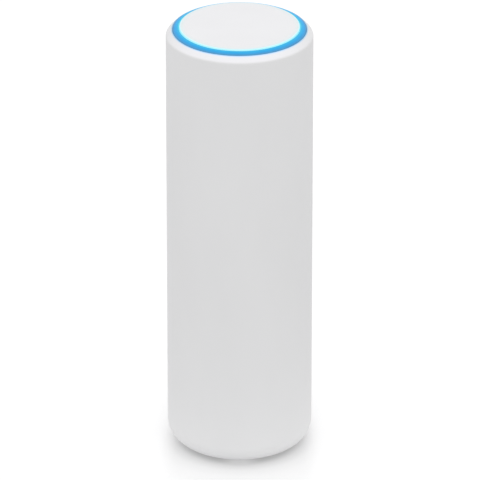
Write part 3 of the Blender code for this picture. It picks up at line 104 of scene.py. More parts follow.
# ---- Walls, reaches and angles -----------------------------------------------------------------
# They are the solids' own, but for the reliefs of the clips, the ring's barbs and the notch's ends.
WALL = 2.15 * MM
SHOULDER_DROP = 2.15 * MM
RIM_FLAT = 0.5 * MM
RIM_THICKNESS = 2.0 * MM
SOLE_THICKNESS = 3.2 * MM
FLOOR_THICKNESS = 1.8 * MM
SCREW_HEAD_HEIGHT = 1.1 * MM
SCREW_RADIUS = 0.9 * MM
EAR_ANGLES = (0.0, 180.0, 270.0)
EAR_HALF_ANGLE = 10.5
EAR_REACH = 4.2 * MM

RING_LEDGE = 1.2 * MM
RING_LEDGE_REACH = 4.45 * MM
RING_DEPTH = 9.1 * MM
RING_CLIP_ANGLES = (90.0, 210.0, 330.0)
RING_BARB_REACH = 0.8 * MM
RING_FOOT_HALF_ANGLE = 4.0

CAP_THICKNESS = 1.8 * MM
CAP_RIB_DROP = 0.9 * MM
CAP_RIB_WIDTH = 1.2 * MM
CAP_RIB_INSET = 1.0 * MM
CAP_CLIP_ANGLES = (30.0, 150.0, 270.0)
CAP_CLIP_HOLD = 0.5 * MM

CLIP_WIDTH = 1.1 * MM
CLIP_BARB = 1.2 * MM
CLIP_HALF_ANGLE = 8.0
RELIEF_SPARE = 1.0 * MM
RELIEF_SPARE_ANGLE = 1.0

COVER_THICKNESS = 2.2 * MM
LUG_HOLD = 0.7 * MM
LUG_HEIGHT = 1.3 * MM
HOOK_WALL = 0.8 * MM
HOOK_ANGLES = (28.0, 124.0, 215.0, 305.0)
HOOK_TURN = 25.0
ENTRY_SPARE_ANGLE = 2.0
GRIP_RADIUS = 3.0 * MM
GRIP_SPACING = 10.0 * MM
GRIP_DEPTH = 1.1 * MM
FOOT_INNER_RADIUS = 9.4 * MM

NOTCH_WIDTH = 7.5 * MM
NOTCH_TOP = 9.3 * MM
NOTCH_INWARD = 2.0 * MM
NOTCH_OUTWARD = 1.0 * MM

# ---- Softened forms, finer than in the solids --------------------------------------------------
EDGE_RADIUS = 7.0 * MM
SHOULDER_FILLET = 1.0 * MM
LIP_FILLET = 0.12 * MM
RING_CROWN = 0.14 * MM
RING_CROWN_FILLET = 2.0 * MM
CAP_EDGE = 0.4 * MM
FOOT_EDGE = 0.3 * MM
FILLET_WIDE = 0.4 * MM
FILLET = 0.2 * MM
FILLET_SMALL = 0.15 * MM
FILLET_FINE = 0.1 * MM
NOTCH_LIP = 0.6 * MM
NOTCH_LIP_ANGLES = (0.0, 17.5, 35.0, 52.5, 70.0)
NOTCH_LIP_PAST = 0.1
NOTCH_ARC_STEPS = 24
NOTCH_SIDE_STEPS = 10
GROOVES = 3
GROOVE_HALF_WIDTH = 0.25 * MM
GROOVE_DEPTH = 0.25 * MM
GROOVE_FILLET = 0.05 * MM

# ---- Levels and radii that follow --------------------------------------------------------------
BORE_RADIUS = BODY_RADIUS - WALL
RECESS_RADIUS = COVER_RADIUS + CLEAR
RIM_RADIUS = RECESS_RADIUS + RIM_THICKNESS
COVER_TOP = COVER_BOTTOM + COVER_THICKNESS
FLOOR_BOTTOM = COVER_TOP + SCREW_HEAD_HEIGHT + 2 * CLEAR
FLOOR_TOP = FLOOR_BOTTOM + FLOOR_THICKNESS
FLOOR_EDGE = COVER_RADIUS - LUG_HOLD
CHANNEL_Z = BODY_BOTTOM + SOLE_THICKNESS
LUG_BOTTOM = FLOOR_TOP + CLEAR
LUG_TOP = LUG_BOTTOM + LUG_HEIGHT
HOOK_INNER = FLOOR_EDGE - CLEAR - HOOK_WALL
CAP_UNDERSIDE = TOP_Z - CAP_THICKNESS
LEDGE_TOP = CAP_UNDERSIDE - CAP_RIB_DROP - CLEAR
LEDGE_BOTTOM = LEDGE_TOP - RING_LEDGE
RING_INNER = CAP_RADIUS + CLEAR
LEDGE_INNER = RING_INNER - RING_LEDGE_REACH
RING_BOTTOM = TOP_Z - RING_DEPTH
SHOULDER_FOOT = LIP_Z - SHOULDER_DROP


# ---- Small node graphs -------------------------------------------------------------------------
BLACK = (0.0, 0.0, 0.0)
BRIGHT = (1.0, 1.0, 1.0)


class Nodes:
    """A node tree with short ways to add and link nodes."""

    def __init__(self, tree):
        self.tree = tree

    def node(self, kind, **settings):
        made = self.tree.nodes.new("ShaderNode" + kind)
        for key, value in settings.items():
            setattr(made, key, value)
        return made

    def link(self, start, end):
        self.tree.links.new(start, end)

    def feed(self, socket, value):
        """Set a socket to a number or a colour, or link it to another socket."""
        if isinstance(value, tuple):
            socket.default_value = (*value, 1.0)
        elif isinstance(value, (int, float)):
            socket.default_value = value
        else:
            self.link(value, socket)

    def axes(self, where):
        """The outputs X, Y and Z of a position."""
        parts = self.node("SeparateXYZ")
        self.link(where, parts.inputs[0])
        return parts.outputs

    def math(self, operation, *values):
        made = self.node("Math", operation=operation)
        for socket, value in zip(made.inputs, values):
            self.feed(socket, value)
        return made.outputs[0]

    def remap(self, value, low, high, to_low=0.0, to_high=1.0, smooth=False):
        made = self.node("MapRange")
        made.interpolation_type = "SMOOTHSTEP" if smooth else "LINEAR"
        for name, number in (("From Min", low), ("From Max", high), ("To Min", to_low),
                             ("To Max", to_high)):
            made.inputs[name].default_value = number
        self.link(value, made.inputs["Value"])
        return made.outputs["Result"]

    def ramp(self, value, stops):
        """Colour ramp of (position, colour) stops."""
        made = self.node("ValToRGB")
        elements = made.color_ramp.elements
        while len(elements) < len(stops):
            elements.new(0.5)
        for element, (position, colour) in zip(elements, stops):
            element.position = position
            element.color = (*colour, 1.0)
        self.link(value, made.inputs["Fac"])
        return made.outputs["Color"]

    def mix(self, share, first, second):
        """Colour between two colours, each a socket or three numbers."""
        made = self.node("Mix", data_type="RGBA")
        for index, value in ((0, share), (6, first), (7, second)):
            self.feed(made.inputs[index], value)
        return made.outputs[2]

    def radius(self, where):
        """Distance from the axis."""
        axes = self.axes(where)
        x, y = axes["X"], axes["Y"]
        squares = self.math("ADD", self.math("MULTIPLY", x, x), self.math("MULTIPLY", y, y))
        return self.math("SQRT", squares)

    def noise(self, where, scale, detail, roughness=0.55, stretch=None):
        if stretch:
            mapping = self.node("Mapping")
            mapping.inputs["Scale"].default_value = stretch
            self.link(where, mapping.inputs["Vector"])
            where = mapping.outputs["Vector"]
        made = self.node("TexNoise")
        made.inputs["Scale"].default_value = scale
        made.inputs["Detail"].default_value = detail
        made.inputs["Roughness"].default_value = roughness
        self.link(where, made.inputs["Vector"])
        return made.outputs["Fac"]


class Graph(Nodes):
    """A material's nodes, which feed its own shader."""

    def __init__(self, name):
        self.material = bpy.data.materials.new(name)
        self.material.use_nodes = True
        super().__init__(self.material.node_tree)
        self.shader = self.tree.nodes["Principled BSDF"]

    def place(self):
        """Position on the object, in metres in the model's own frame."""
        return self.node("TexCoord").outputs["Object"]

    def set(self, **values):
        """Feed the shader's sockets, whose names have spaces for the underscores."""
        for name, value in values.items():
            self.feed(self.shader.inputs[name.replace("_", " ")], value)

    def tint(self, share, colour):
        """Lay a share of a colour over the base colour that is there."""
        base = self.shader.inputs["Base Color"].links[0].from_socket
        self.set(Base_Color=self.mix(share, base, colour))

    def bump(self, value, distance):
        made = self.node("Bump")
        made.inputs["Strength"].default_value = 1.0
        made.inputs["Distance"].default_value = distance
        self.link(value, made.inputs["Height"])
        self.link(made.outputs["Normal"], self.shader.inputs["Normal"])


# ---- Kinds of finish ---------------------------------------------------------------------------
# Most of a noise lies in this part of its range.
NOISE_SPAN = (0.3, 0.7)
FLOW_SCALE = 55.0
FLOW_STRETCH = (1.0, 1.0, 0.35)
GRAIN_ROUGHNESS = 0.6
SATIN_LESS = 0.04
SATIN_MORE = 0.05

DRAWN_SCALE = 1500.0
DRAWN_STRETCH = (1.0, 1.0, 0.05)
DRAWN_DEPTH = 0.003 * MM
DRAWN_LESS = 0.06
DRAWN_MORE = 0.08
BLOTCH_SCALE = 160.0
BLOTCH_SHADE = 0.92

TRACK_SCALE = 520.0
TRACK_WIDTH = 0.035
TRACK_HEIGHT = 0.01 * MM
TRACK_AREA_SCALE = 210.0
TRACK_AREA_SPAN = (0.48, 0.55)
MASK_ROUGHNESS = 0.38


def moulded(name, colour, rough=0.58, grain=0.006 * MM, scale=2600.0, shift=0.02, specular=0.2):
    """Moulded plastic: spark-eroded grain, faint flow marks and a slightly uneven satin."""
    graph = Graph(name)
    where = graph.place()
    flow = graph.noise(where, FLOW_SCALE, detail=2.0, stretch=FLOW_STRETCH)
    darker = tuple(c * (1.0 - shift) for c in colour)
    graph.set(Base_Color=graph.mix(graph.remap(flow, *NOISE_SPAN), darker, colour))
    fine = graph.noise(where, scale, detail=4.0, roughness=GRAIN_ROUGHNESS)
    graph.set(Roughness=graph.remap(fine, *NOISE_SPAN, rough - SATIN_LESS, rough + SATIN_MORE))
    graph.set(Specular_IOR_Level=specular)
    graph.bump(fine, grain)
    return graph


def metal(name, colour, rough):
    """Rolled or extruded metal with faint drawn lines along its length."""
    graph = Graph(name)
    where = graph.place()
    lines = graph.noise(where, DRAWN_SCALE, detail=4.0, stretch=DRAWN_STRETCH)
    blotch = graph.noise(where, BLOTCH_SCALE, detail=3.0)
    darker = tuple(c * BLOTCH_SHADE for c in colour)
    graph.set(Base_Color=graph.mix(graph.remap(blotch, *NOISE_SPAN), darker, colour), Metallic=1.0)
    graph.set(Roughness=graph.remap(lines, *NOISE_SPAN, rough - DRAWN_LESS, rough + DRAWN_MORE))
    graph.bump(lines, DRAWN_DEPTH)
    return graph


def solder_mask(name, colour, trace):
    """Printed circuit board: mask over a mesh of tracks that show as a lighter, raised tone."""
    graph = Graph(name)
    where = graph.place()
    turn = graph.node("Mapping")
    turn.inputs["Rotation"].default_value = (math.radians(90.0), 0.0, 0.0)
    graph.link(where, turn.inputs["Vector"])
    cells = graph.node("TexBrick")
    graph.link(turn.outputs["Vector"], cells.inputs["Vector"])
    for socket, value in (("Scale", TRACK_SCALE), ("Mortar Size", TRACK_WIDTH), ("Color1", BLACK),
                          ("Color2", BLACK), ("Mortar", BRIGHT)):
        graph.feed(cells.inputs[socket], value)
    area = graph.remap(graph.noise(where, TRACK_AREA_SCALE, detail=2.0), *TRACK_AREA_SPAN)
    tracks = graph.math("MULTIPLY", cells.outputs["Color"], area)
    graph.set(Base_Color=graph.mix(tracks, colour, trace), Roughness=MASK_ROUGHNESS)
    graph.bump(tracks, TRACK_HEIGHT)
    return graph


# ---- Mesh helpers ------------------------------------------------------------------------------
def polar(radius, angle):
    return (radius * math.cos(math.radians(angle)), radius * math.sin(math.radians(angle)))


def rounded(corners):
    """Points of a closed outline whose (x, y, fillet) corners are arcs of short chords."""
    points = []
    for i, (x, y, fillet) in enumerate(corners):
        if fillet <= 0:
            points.append((x, y))
            continue
        here = Vector((x, y))
        back = (Vector(corners[i - 1][:2]) - here).normalized()
        ahead = (Vector(corners[(i + 1) % len(corners)][:2]) - here).normalized()
        half = back.angle(ahead) / 2
        centre = here + (back + ahead).normalized() * fillet / math.sin(half)
        start = here + back * fillet / math.tan(half) - centre
        end = here + ahead * fillet / math.tan(half) - centre
        first = math.atan2(start.y, start.x)
        sweep = (math.atan2(end.y, end.x) - first + math.pi) % (2 * math.pi) - math.pi
        count = max(FEWEST_CHORDS, min(MOST_CHORDS, int(fillet * abs(sweep) / CHORD)))
        for k in range(count + 1):
            a = first + sweep * k / count
            points.append((centre.x + fillet * math.cos(a), centre.y + fillet * math.sin(a)))
    return points


def shade(mesh):
    mesh.shade_smooth()
    mesh.set_sharp_from_angle(angle=math.radians(SHARP_ANGLE))


def new_object(name, mesh):
    made = bpy.data.objects.new(name, mesh)
    bpy.context.scene.collection.objects.link(made)
    return made


def from_bmesh(name, work):
    mesh = bpy.data.meshes.new(name)
    work.to_mesh(mesh)
    work.free()
    shade(mesh)
    return new_object(name, mesh)


def join_rows(work, near, far):
    """Faces between two closed rows of as many points."""
    count = len(near)
    for k in range(count):
        ahead = (k + 1) % count
        work.faces.new((near[k], near[ahead], far[ahead], far[k]))


def turned(name, profile, closed=True):
    """Turn (radius, height) points about Z. The points run down the outer side."""
    work = bmesh.new()
    rows = []
    for r, z in profile:
        if r <= ON_AXIS:
            rows.append([work.verts.new((0.0, 0.0, z))])
            continue
        rows.append([work.verts.new((*polar(r, 360.0 * k / TURN_STEPS), z))
                     for k in range(TURN_STEPS)])
    pairs = list(zip(rows, rows[1:]))
    if closed:
        pairs.append((rows[-1], rows[0]))
    for upper, lower in pairs:
        for k in range(TURN_STEPS):
            ahead = (k + 1) % TURN_STEPS
            if len(upper) == 1:
                work.faces.new((upper[0], lower[k], lower[ahead]))
            elif len(lower) == 1:
                work.faces.new((upper[k], lower[0], upper[ahead]))
            else:
                work.faces.new((upper[k], lower[k], lower[ahead], upper[ahead]))
    return from_bmesh(name, work)


def prism(name, outlines, low, high):
    """Flat outlines extruded from low to high."""
    work = bmesh.new()
    for outline in outlines:
        base = [work.verts.new((x, y, low)) for x, y in outline]
        top = [work.verts.new((x, y, high)) for x, y in outline]
        work.faces.new(reversed(base))
        work.faces.new(top)
        join_rows(work, base, top)
    bmesh.ops.recalc_face_normals(work, faces=work.faces)
    return from_bmesh(name, work)


def pins(name, pieces, segments):
    """Upright cylinders: each piece is the (x, y, z) of its centre, its radius and its length."""
    work = bmesh.new()
    for x, y, z, radius, length in pieces:
        bmesh.ops.create_cone(work, cap_ends=True, segments=segments, radius1=radius,
                              radius2=radius, depth=length, matrix=Matrix.Translation((x, y, z)))
    return from_bmesh(name, work)


def sector(inner, outer, start, end):
    angles = [start + (end - start) * i / SECTOR_STEPS for i in range(SECTOR_STEPS + 1)]
    return [polar(outer, a) for a in angles] + [polar(inner, a) for a in reversed(angles)]


def sectors(inner, outer, centres, half_angle):
    return [sector(inner, outer, c - half_angle, c + half_angle) for c in centres]


def combine(piece, tools):
    """Cut or fuse the tools, each a pair of operation and object, into the piece's own mesh."""
    for operation, tool in tools:
        change = piece.modifiers.new(tool.name, "BOOLEAN")
        change.operation = operation
        change.object = tool
    bpy.context.view_layer.update()
    graph = bpy.context.evaluated_depsgraph_get()
    mesh = bpy.data.meshes.new_from_object(piece.evaluated_get(graph))
    piece.modifiers.clear()
    piece.data = mesh
    for _, tool in tools:
        bpy.data.objects.remove(tool, do_unlink=True)
    shade(mesh)


def clip_tools(name, inner, reach, angles, wall, root, tip, barb):
    """Standing clips: a wall from root to tip at the inner radius, barbed outwards at its tip."""
    up = 1 if tip > root else -1
    low, high = sorted((root - up * SINK, tip))
    full = prism(name + "_clips", sectors(inner, reach, angles, CLIP_HALF_ANGLE), low, high)
    low, high = sorted((root + up * SINK, tip - up * barb))
    relief = prism(name + "_reliefs", sectors(inner + wall, reach + RELIEF_SPARE, angles,
                                              CLIP_HALF_ANGLE + RELIEF_SPARE_ANGLE), low, high)
    return [("UNION", full), ("DIFFERENCE", relief)]


def finish_piece(piece, graph, body, slot, *nodes):
    """Give a piece its finish, its body and the solids that it stands for."""
    piece.data.materials.clear()
    piece.data.materials.append(graph.material)
    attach(piece, body)
    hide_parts(*nodes)


# ---- Finishes of the outer pieces --------------------------------------------------------------
WHITE = (0.798, 0.798, 0.803)
# The cap's white is paler than the sleeve's: painted light for the stronger light on the top face.
CAP_WHITE_PAINTED_LIT = (0.872, 0.872, 0.888)
FOOT_GREY = (0.42, 0.43, 0.45)

# The sleeve's painted light: a painted glow on the shoulder, and the ring's light painted at the lip
# as a glow and a blue tint; where each starts and is full, its colour, and its share behind.
SHOULDER_PAINTED_LIGHT_SPAN = (SHOULDER_FOOT - 0.1 * MM, SHOULDER_FOOT + 0.6 * MM)
SHOULDER_PAINTED_LIGHT = (0.12, 0.115, 0.138)
LIP_PAINTED_GLOW_SPAN = (LIP_Z - 0.9 * MM, LIP_Z)
LIP_PAINTED_GLOW = (0.08, 0.13, 0.27)
LIP_PAINTED_TINT_SPAN = (LIP_Z - 0.55 * MM, LIP_Z - 0.05 * MM)
LIP_PAINTED_TINT = (0.32, 0.60, 0.78)
PAINTED_GLOW_BEHIND = 0.25

# Painted ring light on the cap: a cyan tint towards the rim, and a paler cyan tint with a glow right
# at the rim.
CAP_PAINTED_RING_LIGHT_SPAN = (CAP_RADIUS - 2.2 * MM, CAP_RADIUS - 0.4 * MM)
CAP_PAINTED_RING_LIGHT = (0.80, 0.87, 0.885)
CAP_PAINTED_RIM_LIGHT_SPAN = (CAP_RADIUS - 0.5 * MM, CAP_RADIUS - 0.05 * MM)
CAP_PAINTED_RIM_LIGHT = (0.50, 0.86, 0.92)
CAP_PAINTED_RIM_GLOW = (0.12, 0.18, 0.20)

# The ring's light, from its inner edge to its outer one.
RING_LIGHT = [(0.0, (0.13, 0.62, 0.72)), (0.09, (0.045, 0.43, 0.63)), (0.40, (0.025, 0.38, 0.72)),
              (0.72, (0.03, 0.31, 0.65)), (0.92, (0.06, 0.28, 0.57)), (1.0, (0.08, 0.25, 0.45))]
RING_BASE = (0.01, 0.06, 0.12)
RING_STREAK = (0.10, 0.52, 0.78)
RING_STREAK_SCALE = 420.0
RING_STREAK_SPAN = (0.35, 0.65)
RING_STREAK_SHARE = 0.08
RING_GRAIN_SCALE = 1800.0
RING_GRAIN = 0.004 * MM


def sleeve_finish():
    """White satin plastic with painted light: a painted glow on the shoulder, strongest in front,
    and the ring's light painted in blue at the lip.
    """
    graph = moulded("sleeve_white_painted_light", WHITE, specular=0.08)
    axes = graph.axes(graph.place())
    level = axes["Z"]
    # Painted light: full in front, and a share of it behind.
    share = graph.remap(axes["Y"], -BODY_RADIUS, 0.0, 1.0, PAINTED_GLOW_BEHIND, smooth=True)
    shoulder = graph.remap(level, *SHOULDER_PAINTED_LIGHT_SPAN, smooth=True)
    lip = graph.remap(level, *LIP_PAINTED_GLOW_SPAN, smooth=True)
    glow = graph.mix(lip, graph.mix(shoulder, BLACK, SHOULDER_PAINTED_LIGHT), LIP_PAINTED_GLOW)
    graph.set(Emission_Color=glow, Emission_Strength=share)
    # Painted blue of the ring's light at the lip.
    graph.tint(graph.remap(level, *LIP_PAINTED_TINT_SPAN, smooth=True), LIP_PAINTED_TINT)
    return graph


def cap_finish():
    """Satin white, paler than the sleeve's as painted light on the top face, with the ring's light
    painted at the rim as cyan tints and a glow.
    """
    graph = moulded("cap_white_painted_light", CAP_WHITE_PAINTED_LIT, rough=0.48)
    radius = graph.radius(graph.place())
    # Painted ring light: cyan tints towards the rim and a glow at the rim.
    rim = graph.remap(radius, *CAP_PAINTED_RIM_LIGHT_SPAN, smooth=True)
    graph.tint(graph.remap(radius, *CAP_PAINTED_RING_LIGHT_SPAN, smooth=True), CAP_PAINTED_RING_LIGHT)
    graph.tint(rim, CAP_PAINTED_RIM_LIGHT)
    graph.set(Emission_Color=graph.mix(rim, BLACK, CAP_PAINTED_RIM_GLOW), Emission_Strength=1.0)
    return graph


def ring_finish():
    """Lit light guide: palest beside the cap, then cyan, deepening to blue at the outer edge."""
    graph = Graph("light_guide_lit")
    where = graph.place()
    lit = graph.ramp(graph.remap(graph.radius(where), RING_INNER, CORE_RADIUS), RING_LIGHT)
    streaks = graph.remap(graph.noise(where, RING_STREAK_SCALE, detail=2.0), *RING_STREAK_SPAN,
                          0.0, RING_STREAK_SHARE)
    graph.set(Base_Color=RING_BASE, Roughness=0.5, Specular_IOR_Level=0.1,
              Emission_Color=graph.mix(streaks, lit, RING_STREAK), Emission_Strength=1.0)
    graph.bump(graph.noise(where, RING_GRAIN_SCALE, detail=3.0), RING_GRAIN)
    return graph


# ---- Outer pieces ------------------------------------------------------------------------------
def skin_radius(level):
    """Radius of the sleeve's skin at a height on its rounded lower edge or above it."""
    drop = min(max(BODY_BOTTOM + EDGE_RADIUS - level, 0.0), EDGE_RADIUS)
    return BODY_RADIUS - EDGE_RADIUS + math.sqrt(EDGE_RADIUS ** 2 - drop ** 2)


def notch_outline():
    """Slot with a round top, open at the bottom: (x, z, outward x, outward z) points."""
    half = NOTCH_WIDTH / 2
    middle = NOTCH_TOP - half
    levels = [BODY_BOTTOM + EDGE_RADIUS * (1.0 - math.cos(math.pi / 2 * k / NOTCH_SIDE_STEPS))
              for k in range(NOTCH_SIDE_STEPS)]
    side = [-SINK] + [z for z in levels if z < middle - SINK]
    turns = [math.pi * i / NOTCH_ARC_STEPS for i in range(NOTCH_ARC_STEPS + 1)]
    arc = [(math.cos(t), math.sin(t)) for t in turns]
    return ([(half, z, 1.0, 0.0) for z in side]
            + [(half * x, middle + half * z, x, z) for x, z in arc]
            + [(-half, z, -1.0, 0.0) for z in reversed(side)])


def notch_cutter():
    """Cable notch out through the skin, where its mouth flares along an arc to a round lip.

    Each row of the flare is (growth of the outline, plane in Y or None, offset from the skin).
    """
    flare = [(0.0, FLOOR_EDGE - NOTCH_INWARD, None)]
    for degrees in NOTCH_LIP_ANGLES:
        t = math.radians(degrees)
        flare.append((NOTCH_LIP * (1.0 - math.cos(t)), None, NOTCH_LIP * (math.sin(t) - 1.0)))
    widest = (1.0 + NOTCH_LIP_PAST) * NOTCH_LIP
    flare.append((widest, None, NOTCH_LIP_PAST * NOTCH_LIP))
    flare.append((widest, BODY_RADIUS + NOTCH_OUTWARD, None))
    outline = notch_outline()
    work = bmesh.new()
    rows = []
    for growth, plane, offset in flare:
        row = []
        for x, z, out_x, out_z in outline:
            x, z = x + growth * out_x, z + growth * out_z
            y = plane if offset is None else math.sqrt(skin_radius(z) ** 2 - x ** 2) + offset
            row.append(work.verts.new((x, y, z)))
        rows.append(row)
    for near, far in zip(rows, rows[1:]):
        join_rows(work, near, far)
    work.faces.new(reversed(rows[0]))
    work.faces.new(rows[-1])
    bmesh.ops.recalc_face_normals(work, faces=work.faces)
    return from_bmesh("cable_notch", work)


def sleeve():
    """One moulded tube: shoulder brightened with painted light, rounded lower edge, recess, floor
    ring and cable notch.
    """
    inner_fillet = BORE_RADIUS - RIM_RADIUS - RIM_FLAT
    piece = turned("sleeve_skin", rounded([
        (BORE_RADIUS, LIP_Z, LIP_FILLET),
        (BODY_RADIUS, LIP_Z - SHOULDER_DROP, SHOULDER_FILLET),
        (BODY_RADIUS, BODY_BOTTOM, EDGE_RADIUS),
        (RECESS_RADIUS, BODY_BOTTOM, FILLET),
        (RECESS_RADIUS, FLOOR_BOTTOM, FILLET),
        (FLOOR_EDGE, FLOOR_BOTTOM, FILLET_SMALL),
        (FLOOR_EDGE, FLOOR_TOP, FILLET_SMALL),
        (RIM_RADIUS, FLOOR_TOP, FILLET),
        (RIM_RADIUS, CHANNEL_Z, FILLET_WIDE),
        (BORE_RADIUS, CHANNEL_Z, inner_fillet)]))
    ears = prism("floor_ears", sectors(FLOOR_EDGE - EAR_REACH, FLOOR_EDGE + 2 * SINK, EAR_ANGLES,
                                       EAR_HALF_ANGLE), FLOOR_BOTTOM, FLOOR_TOP)
    entries = prism("hook_entries", sectors(
        FLOOR_EDGE - SINK, RECESS_RADIUS + SINK / 2, [a + HOOK_TURN for a in HOOK_ANGLES],
        CLIP_HALF_ANGLE + ENTRY_SPARE_ANGLE), FLOOR_BOTTOM - SINK, FLOOR_TOP + SINK)
    ear_radius = FLOOR_EDGE - EAR_REACH / 2
    ear_middle = (FLOOR_BOTTOM + FLOOR_TOP) / 2
    holes = pins("ear_holes", [
        (*polar(ear_radius, a), ear_middle, SCREW_RADIUS + CLEAR, 2 * FLOOR_THICKNESS)
        for a in EAR_ANGLES], PIN_SEGMENTS)
    combine(piece, [("UNION", ears), ("DIFFERENCE", entries), ("DIFFERENCE", holes),
                    ("DIFFERENCE", notch_cutter())])
    finish_piece(piece, sleeve_finish(), "housing", "white_shell", "outer_sleeve")


def ring():
    """Translucent guide: sloped lit face with softened edges, skirt, ledge, clips and feet."""
    crown = ((RING_INNER + CORE_RADIUS) / 2, (RING_HIGH.z + LIP_Z) / 2 + RING_CROWN)
    piece = turned("ring_guide", rounded([
        (RING_INNER, RING_HIGH.z, FILLET_FINE),
        (*crown, RING_CROWN_FILLET),
        (CORE_RADIUS, LIP_Z, LIP_FILLET),
        (CORE_RADIUS, RING_BOTTOM, FILLET),
        (RING_INNER, RING_BOTTOM, FILLET),
        (RING_INNER, LEDGE_BOTTOM, FILLET),
        (LEDGE_INNER, LEDGE_BOTTOM, FILLET_SMALL),
        (LEDGE_INNER, LEDGE_TOP, FILLET_SMALL),
        (RING_INNER, LEDGE_TOP, FILLET_SMALL)]))
    clip_inner = LEDGE_INNER + SINK
    tools = clip_tools("ring", clip_inner, clip_inner + CLIP_WIDTH + RING_BARB_REACH,
                       RING_CLIP_ANGLES, CLIP_WIDTH, LEDGE_BOTTOM, RING_LOW.z, CLIP_BARB)
    feet = prism("ring_feet", sectors(RING_INNER + SINK, CORE_RADIUS - SINK, RING_CLIP_ANGLES,
                                      RING_FOOT_HALF_ANGLE),
                 LIGHT_BOARD_TOP + CLEAR, RING_BOTTOM + SINK)
    combine(piece, tools + [("UNION", feet)])
    finish_piece(piece, ring_finish(), "housing", "light_guide", "light_ring")


def cap():
    """Flat satin disc with a soft edge, a seating rib and three clips."""
    rib_outer = CAP_RADIUS - CAP_RIB_INSET
    rib_inner = rib_outer - CAP_RIB_WIDTH
    rib_bottom = LEDGE_TOP + CLEAR
    piece = turned("cap_disc", rounded([
        (0.0, TOP_Z, 0),
        (CAP_RADIUS, TOP_Z, CAP_EDGE),
        (CAP_RADIUS, CAP_UNDERSIDE, FILLET_SMALL),
        (rib_outer, CAP_UNDERSIDE, FILLET_FINE),
        (rib_outer, rib_bottom, FILLET_FINE),
        (rib_inner, rib_bottom, FILLET_FINE),
        (rib_inner, CAP_UNDERSIDE, FILLET_FINE),
        (0.0, CAP_UNDERSIDE, 0)]), closed=False)
    combine(piece, clip_tools("cap", LEDGE_INNER - CLEAR - CLIP_WIDTH, LEDGE_INNER + CAP_CLIP_HOLD,
                              CAP_CLIP_ANGLES, CLIP_WIDTH, CAP_UNDERSIDE, CAP_LOW.z, CLIP_BARB))
    finish_piece(piece, cap_finish(), "housing", "cap_plastic", "top_cap")


# ---- Base --------------------------------------------------------------------------------------
def base_cover():
    """Twist-off cover: softened rim, seat for the foot, two finger recesses and four hooks."""
    seat_top = FOOT_HIGH.z + CLEAR
    piece = turned("cover_disc", rounded([
        (0.0, COVER_TOP, 0),
        (COVER_RADIUS, COVER_TOP, FILLET_SMALL),
        (COVER_RADIUS, COVER_BOTTOM, FILLET_WIDE),
        (FOOT_RADIUS + CLEAR, COVER_BOTTOM, FILLET_FINE),
        (FOOT_RADIUS + CLEAR, seat_top, FILLET_FINE),
        (FOOT_INNER_RADIUS - CLEAR, seat_top, FILLET_FINE),
        (FOOT_INNER_RADIUS - CLEAR, COVER_BOTTOM, FILLET_SMALL),
        (0.0, COVER_BOTTOM, 0)]), closed=False)
    grips = pins("cover_grips", [(x, 0.0, COVER_BOTTOM, GRIP_RADIUS, 2 * GRIP_DEPTH)
                                 for x in (-GRIP_SPACING / 2, GRIP_SPACING / 2)], GRIP_SEGMENTS)
    tools = clip_tools("cover", HOOK_INNER, COVER_RADIUS, HOOK_ANGLES, HOOK_WALL, COVER_TOP,
                       LUG_TOP, LUG_HEIGHT)
    combine(piece, tools + [("DIFFERENCE", grips)])
    finish_piece(piece, moulded("cover_white", WHITE, rough=0.5), "base", "white_shell",
                 "base_cover")


def rubber_foot():
    """Soft ring under the cover, with shallow grooves in its tread."""
    corners = [(FOOT_INNER_RADIUS, FOOT_HIGH.z, FILLET_FINE),
               (FOOT_RADIUS, FOOT_HIGH.z, FILLET_FINE), (FOOT_RADIUS, 0.0, FOOT_EDGE)]
    pitch = (FOOT_RADIUS - FOOT_INNER_RADIUS) / (GROOVES + 1)
    for k in range(GROOVES, 0, -1):
        middle = FOOT_INNER_RADIUS + k * pitch
        corners += [(middle + GROOVE_HALF_WIDTH, 0.0, GROOVE_FILLET),
                    (middle, GROOVE_DEPTH, GROOVE_FILLET),
                    (middle - GROOVE_HALF_WIDTH, 0.0, GROOVE_FILLET)]
    corners.append((FOOT_INNER_RADIUS, 0.0, FOOT_EDGE))
    piece = turned("foot_ring", rounded(corners))
    graph = moulded("foot_rubber_matt", FOOT_GREY, rough=0.78, grain=0.01 * MM, shift=0.06,
                    specular=0.3)
    finish_piece(piece, graph, "base", "foot_rubber", "rubber_foot")


# ---- Carried-over solids -----------------------------------------------------------------------
def numbered(stem, count):
    return [stem + "_%d" % (i + 1) for i in range(count)]


def finish_nodes(graph, names):
    for name in names:
        node = frame["nodes"][name]
        node.data.materials.clear()
        node.data.materials.append(graph.material)


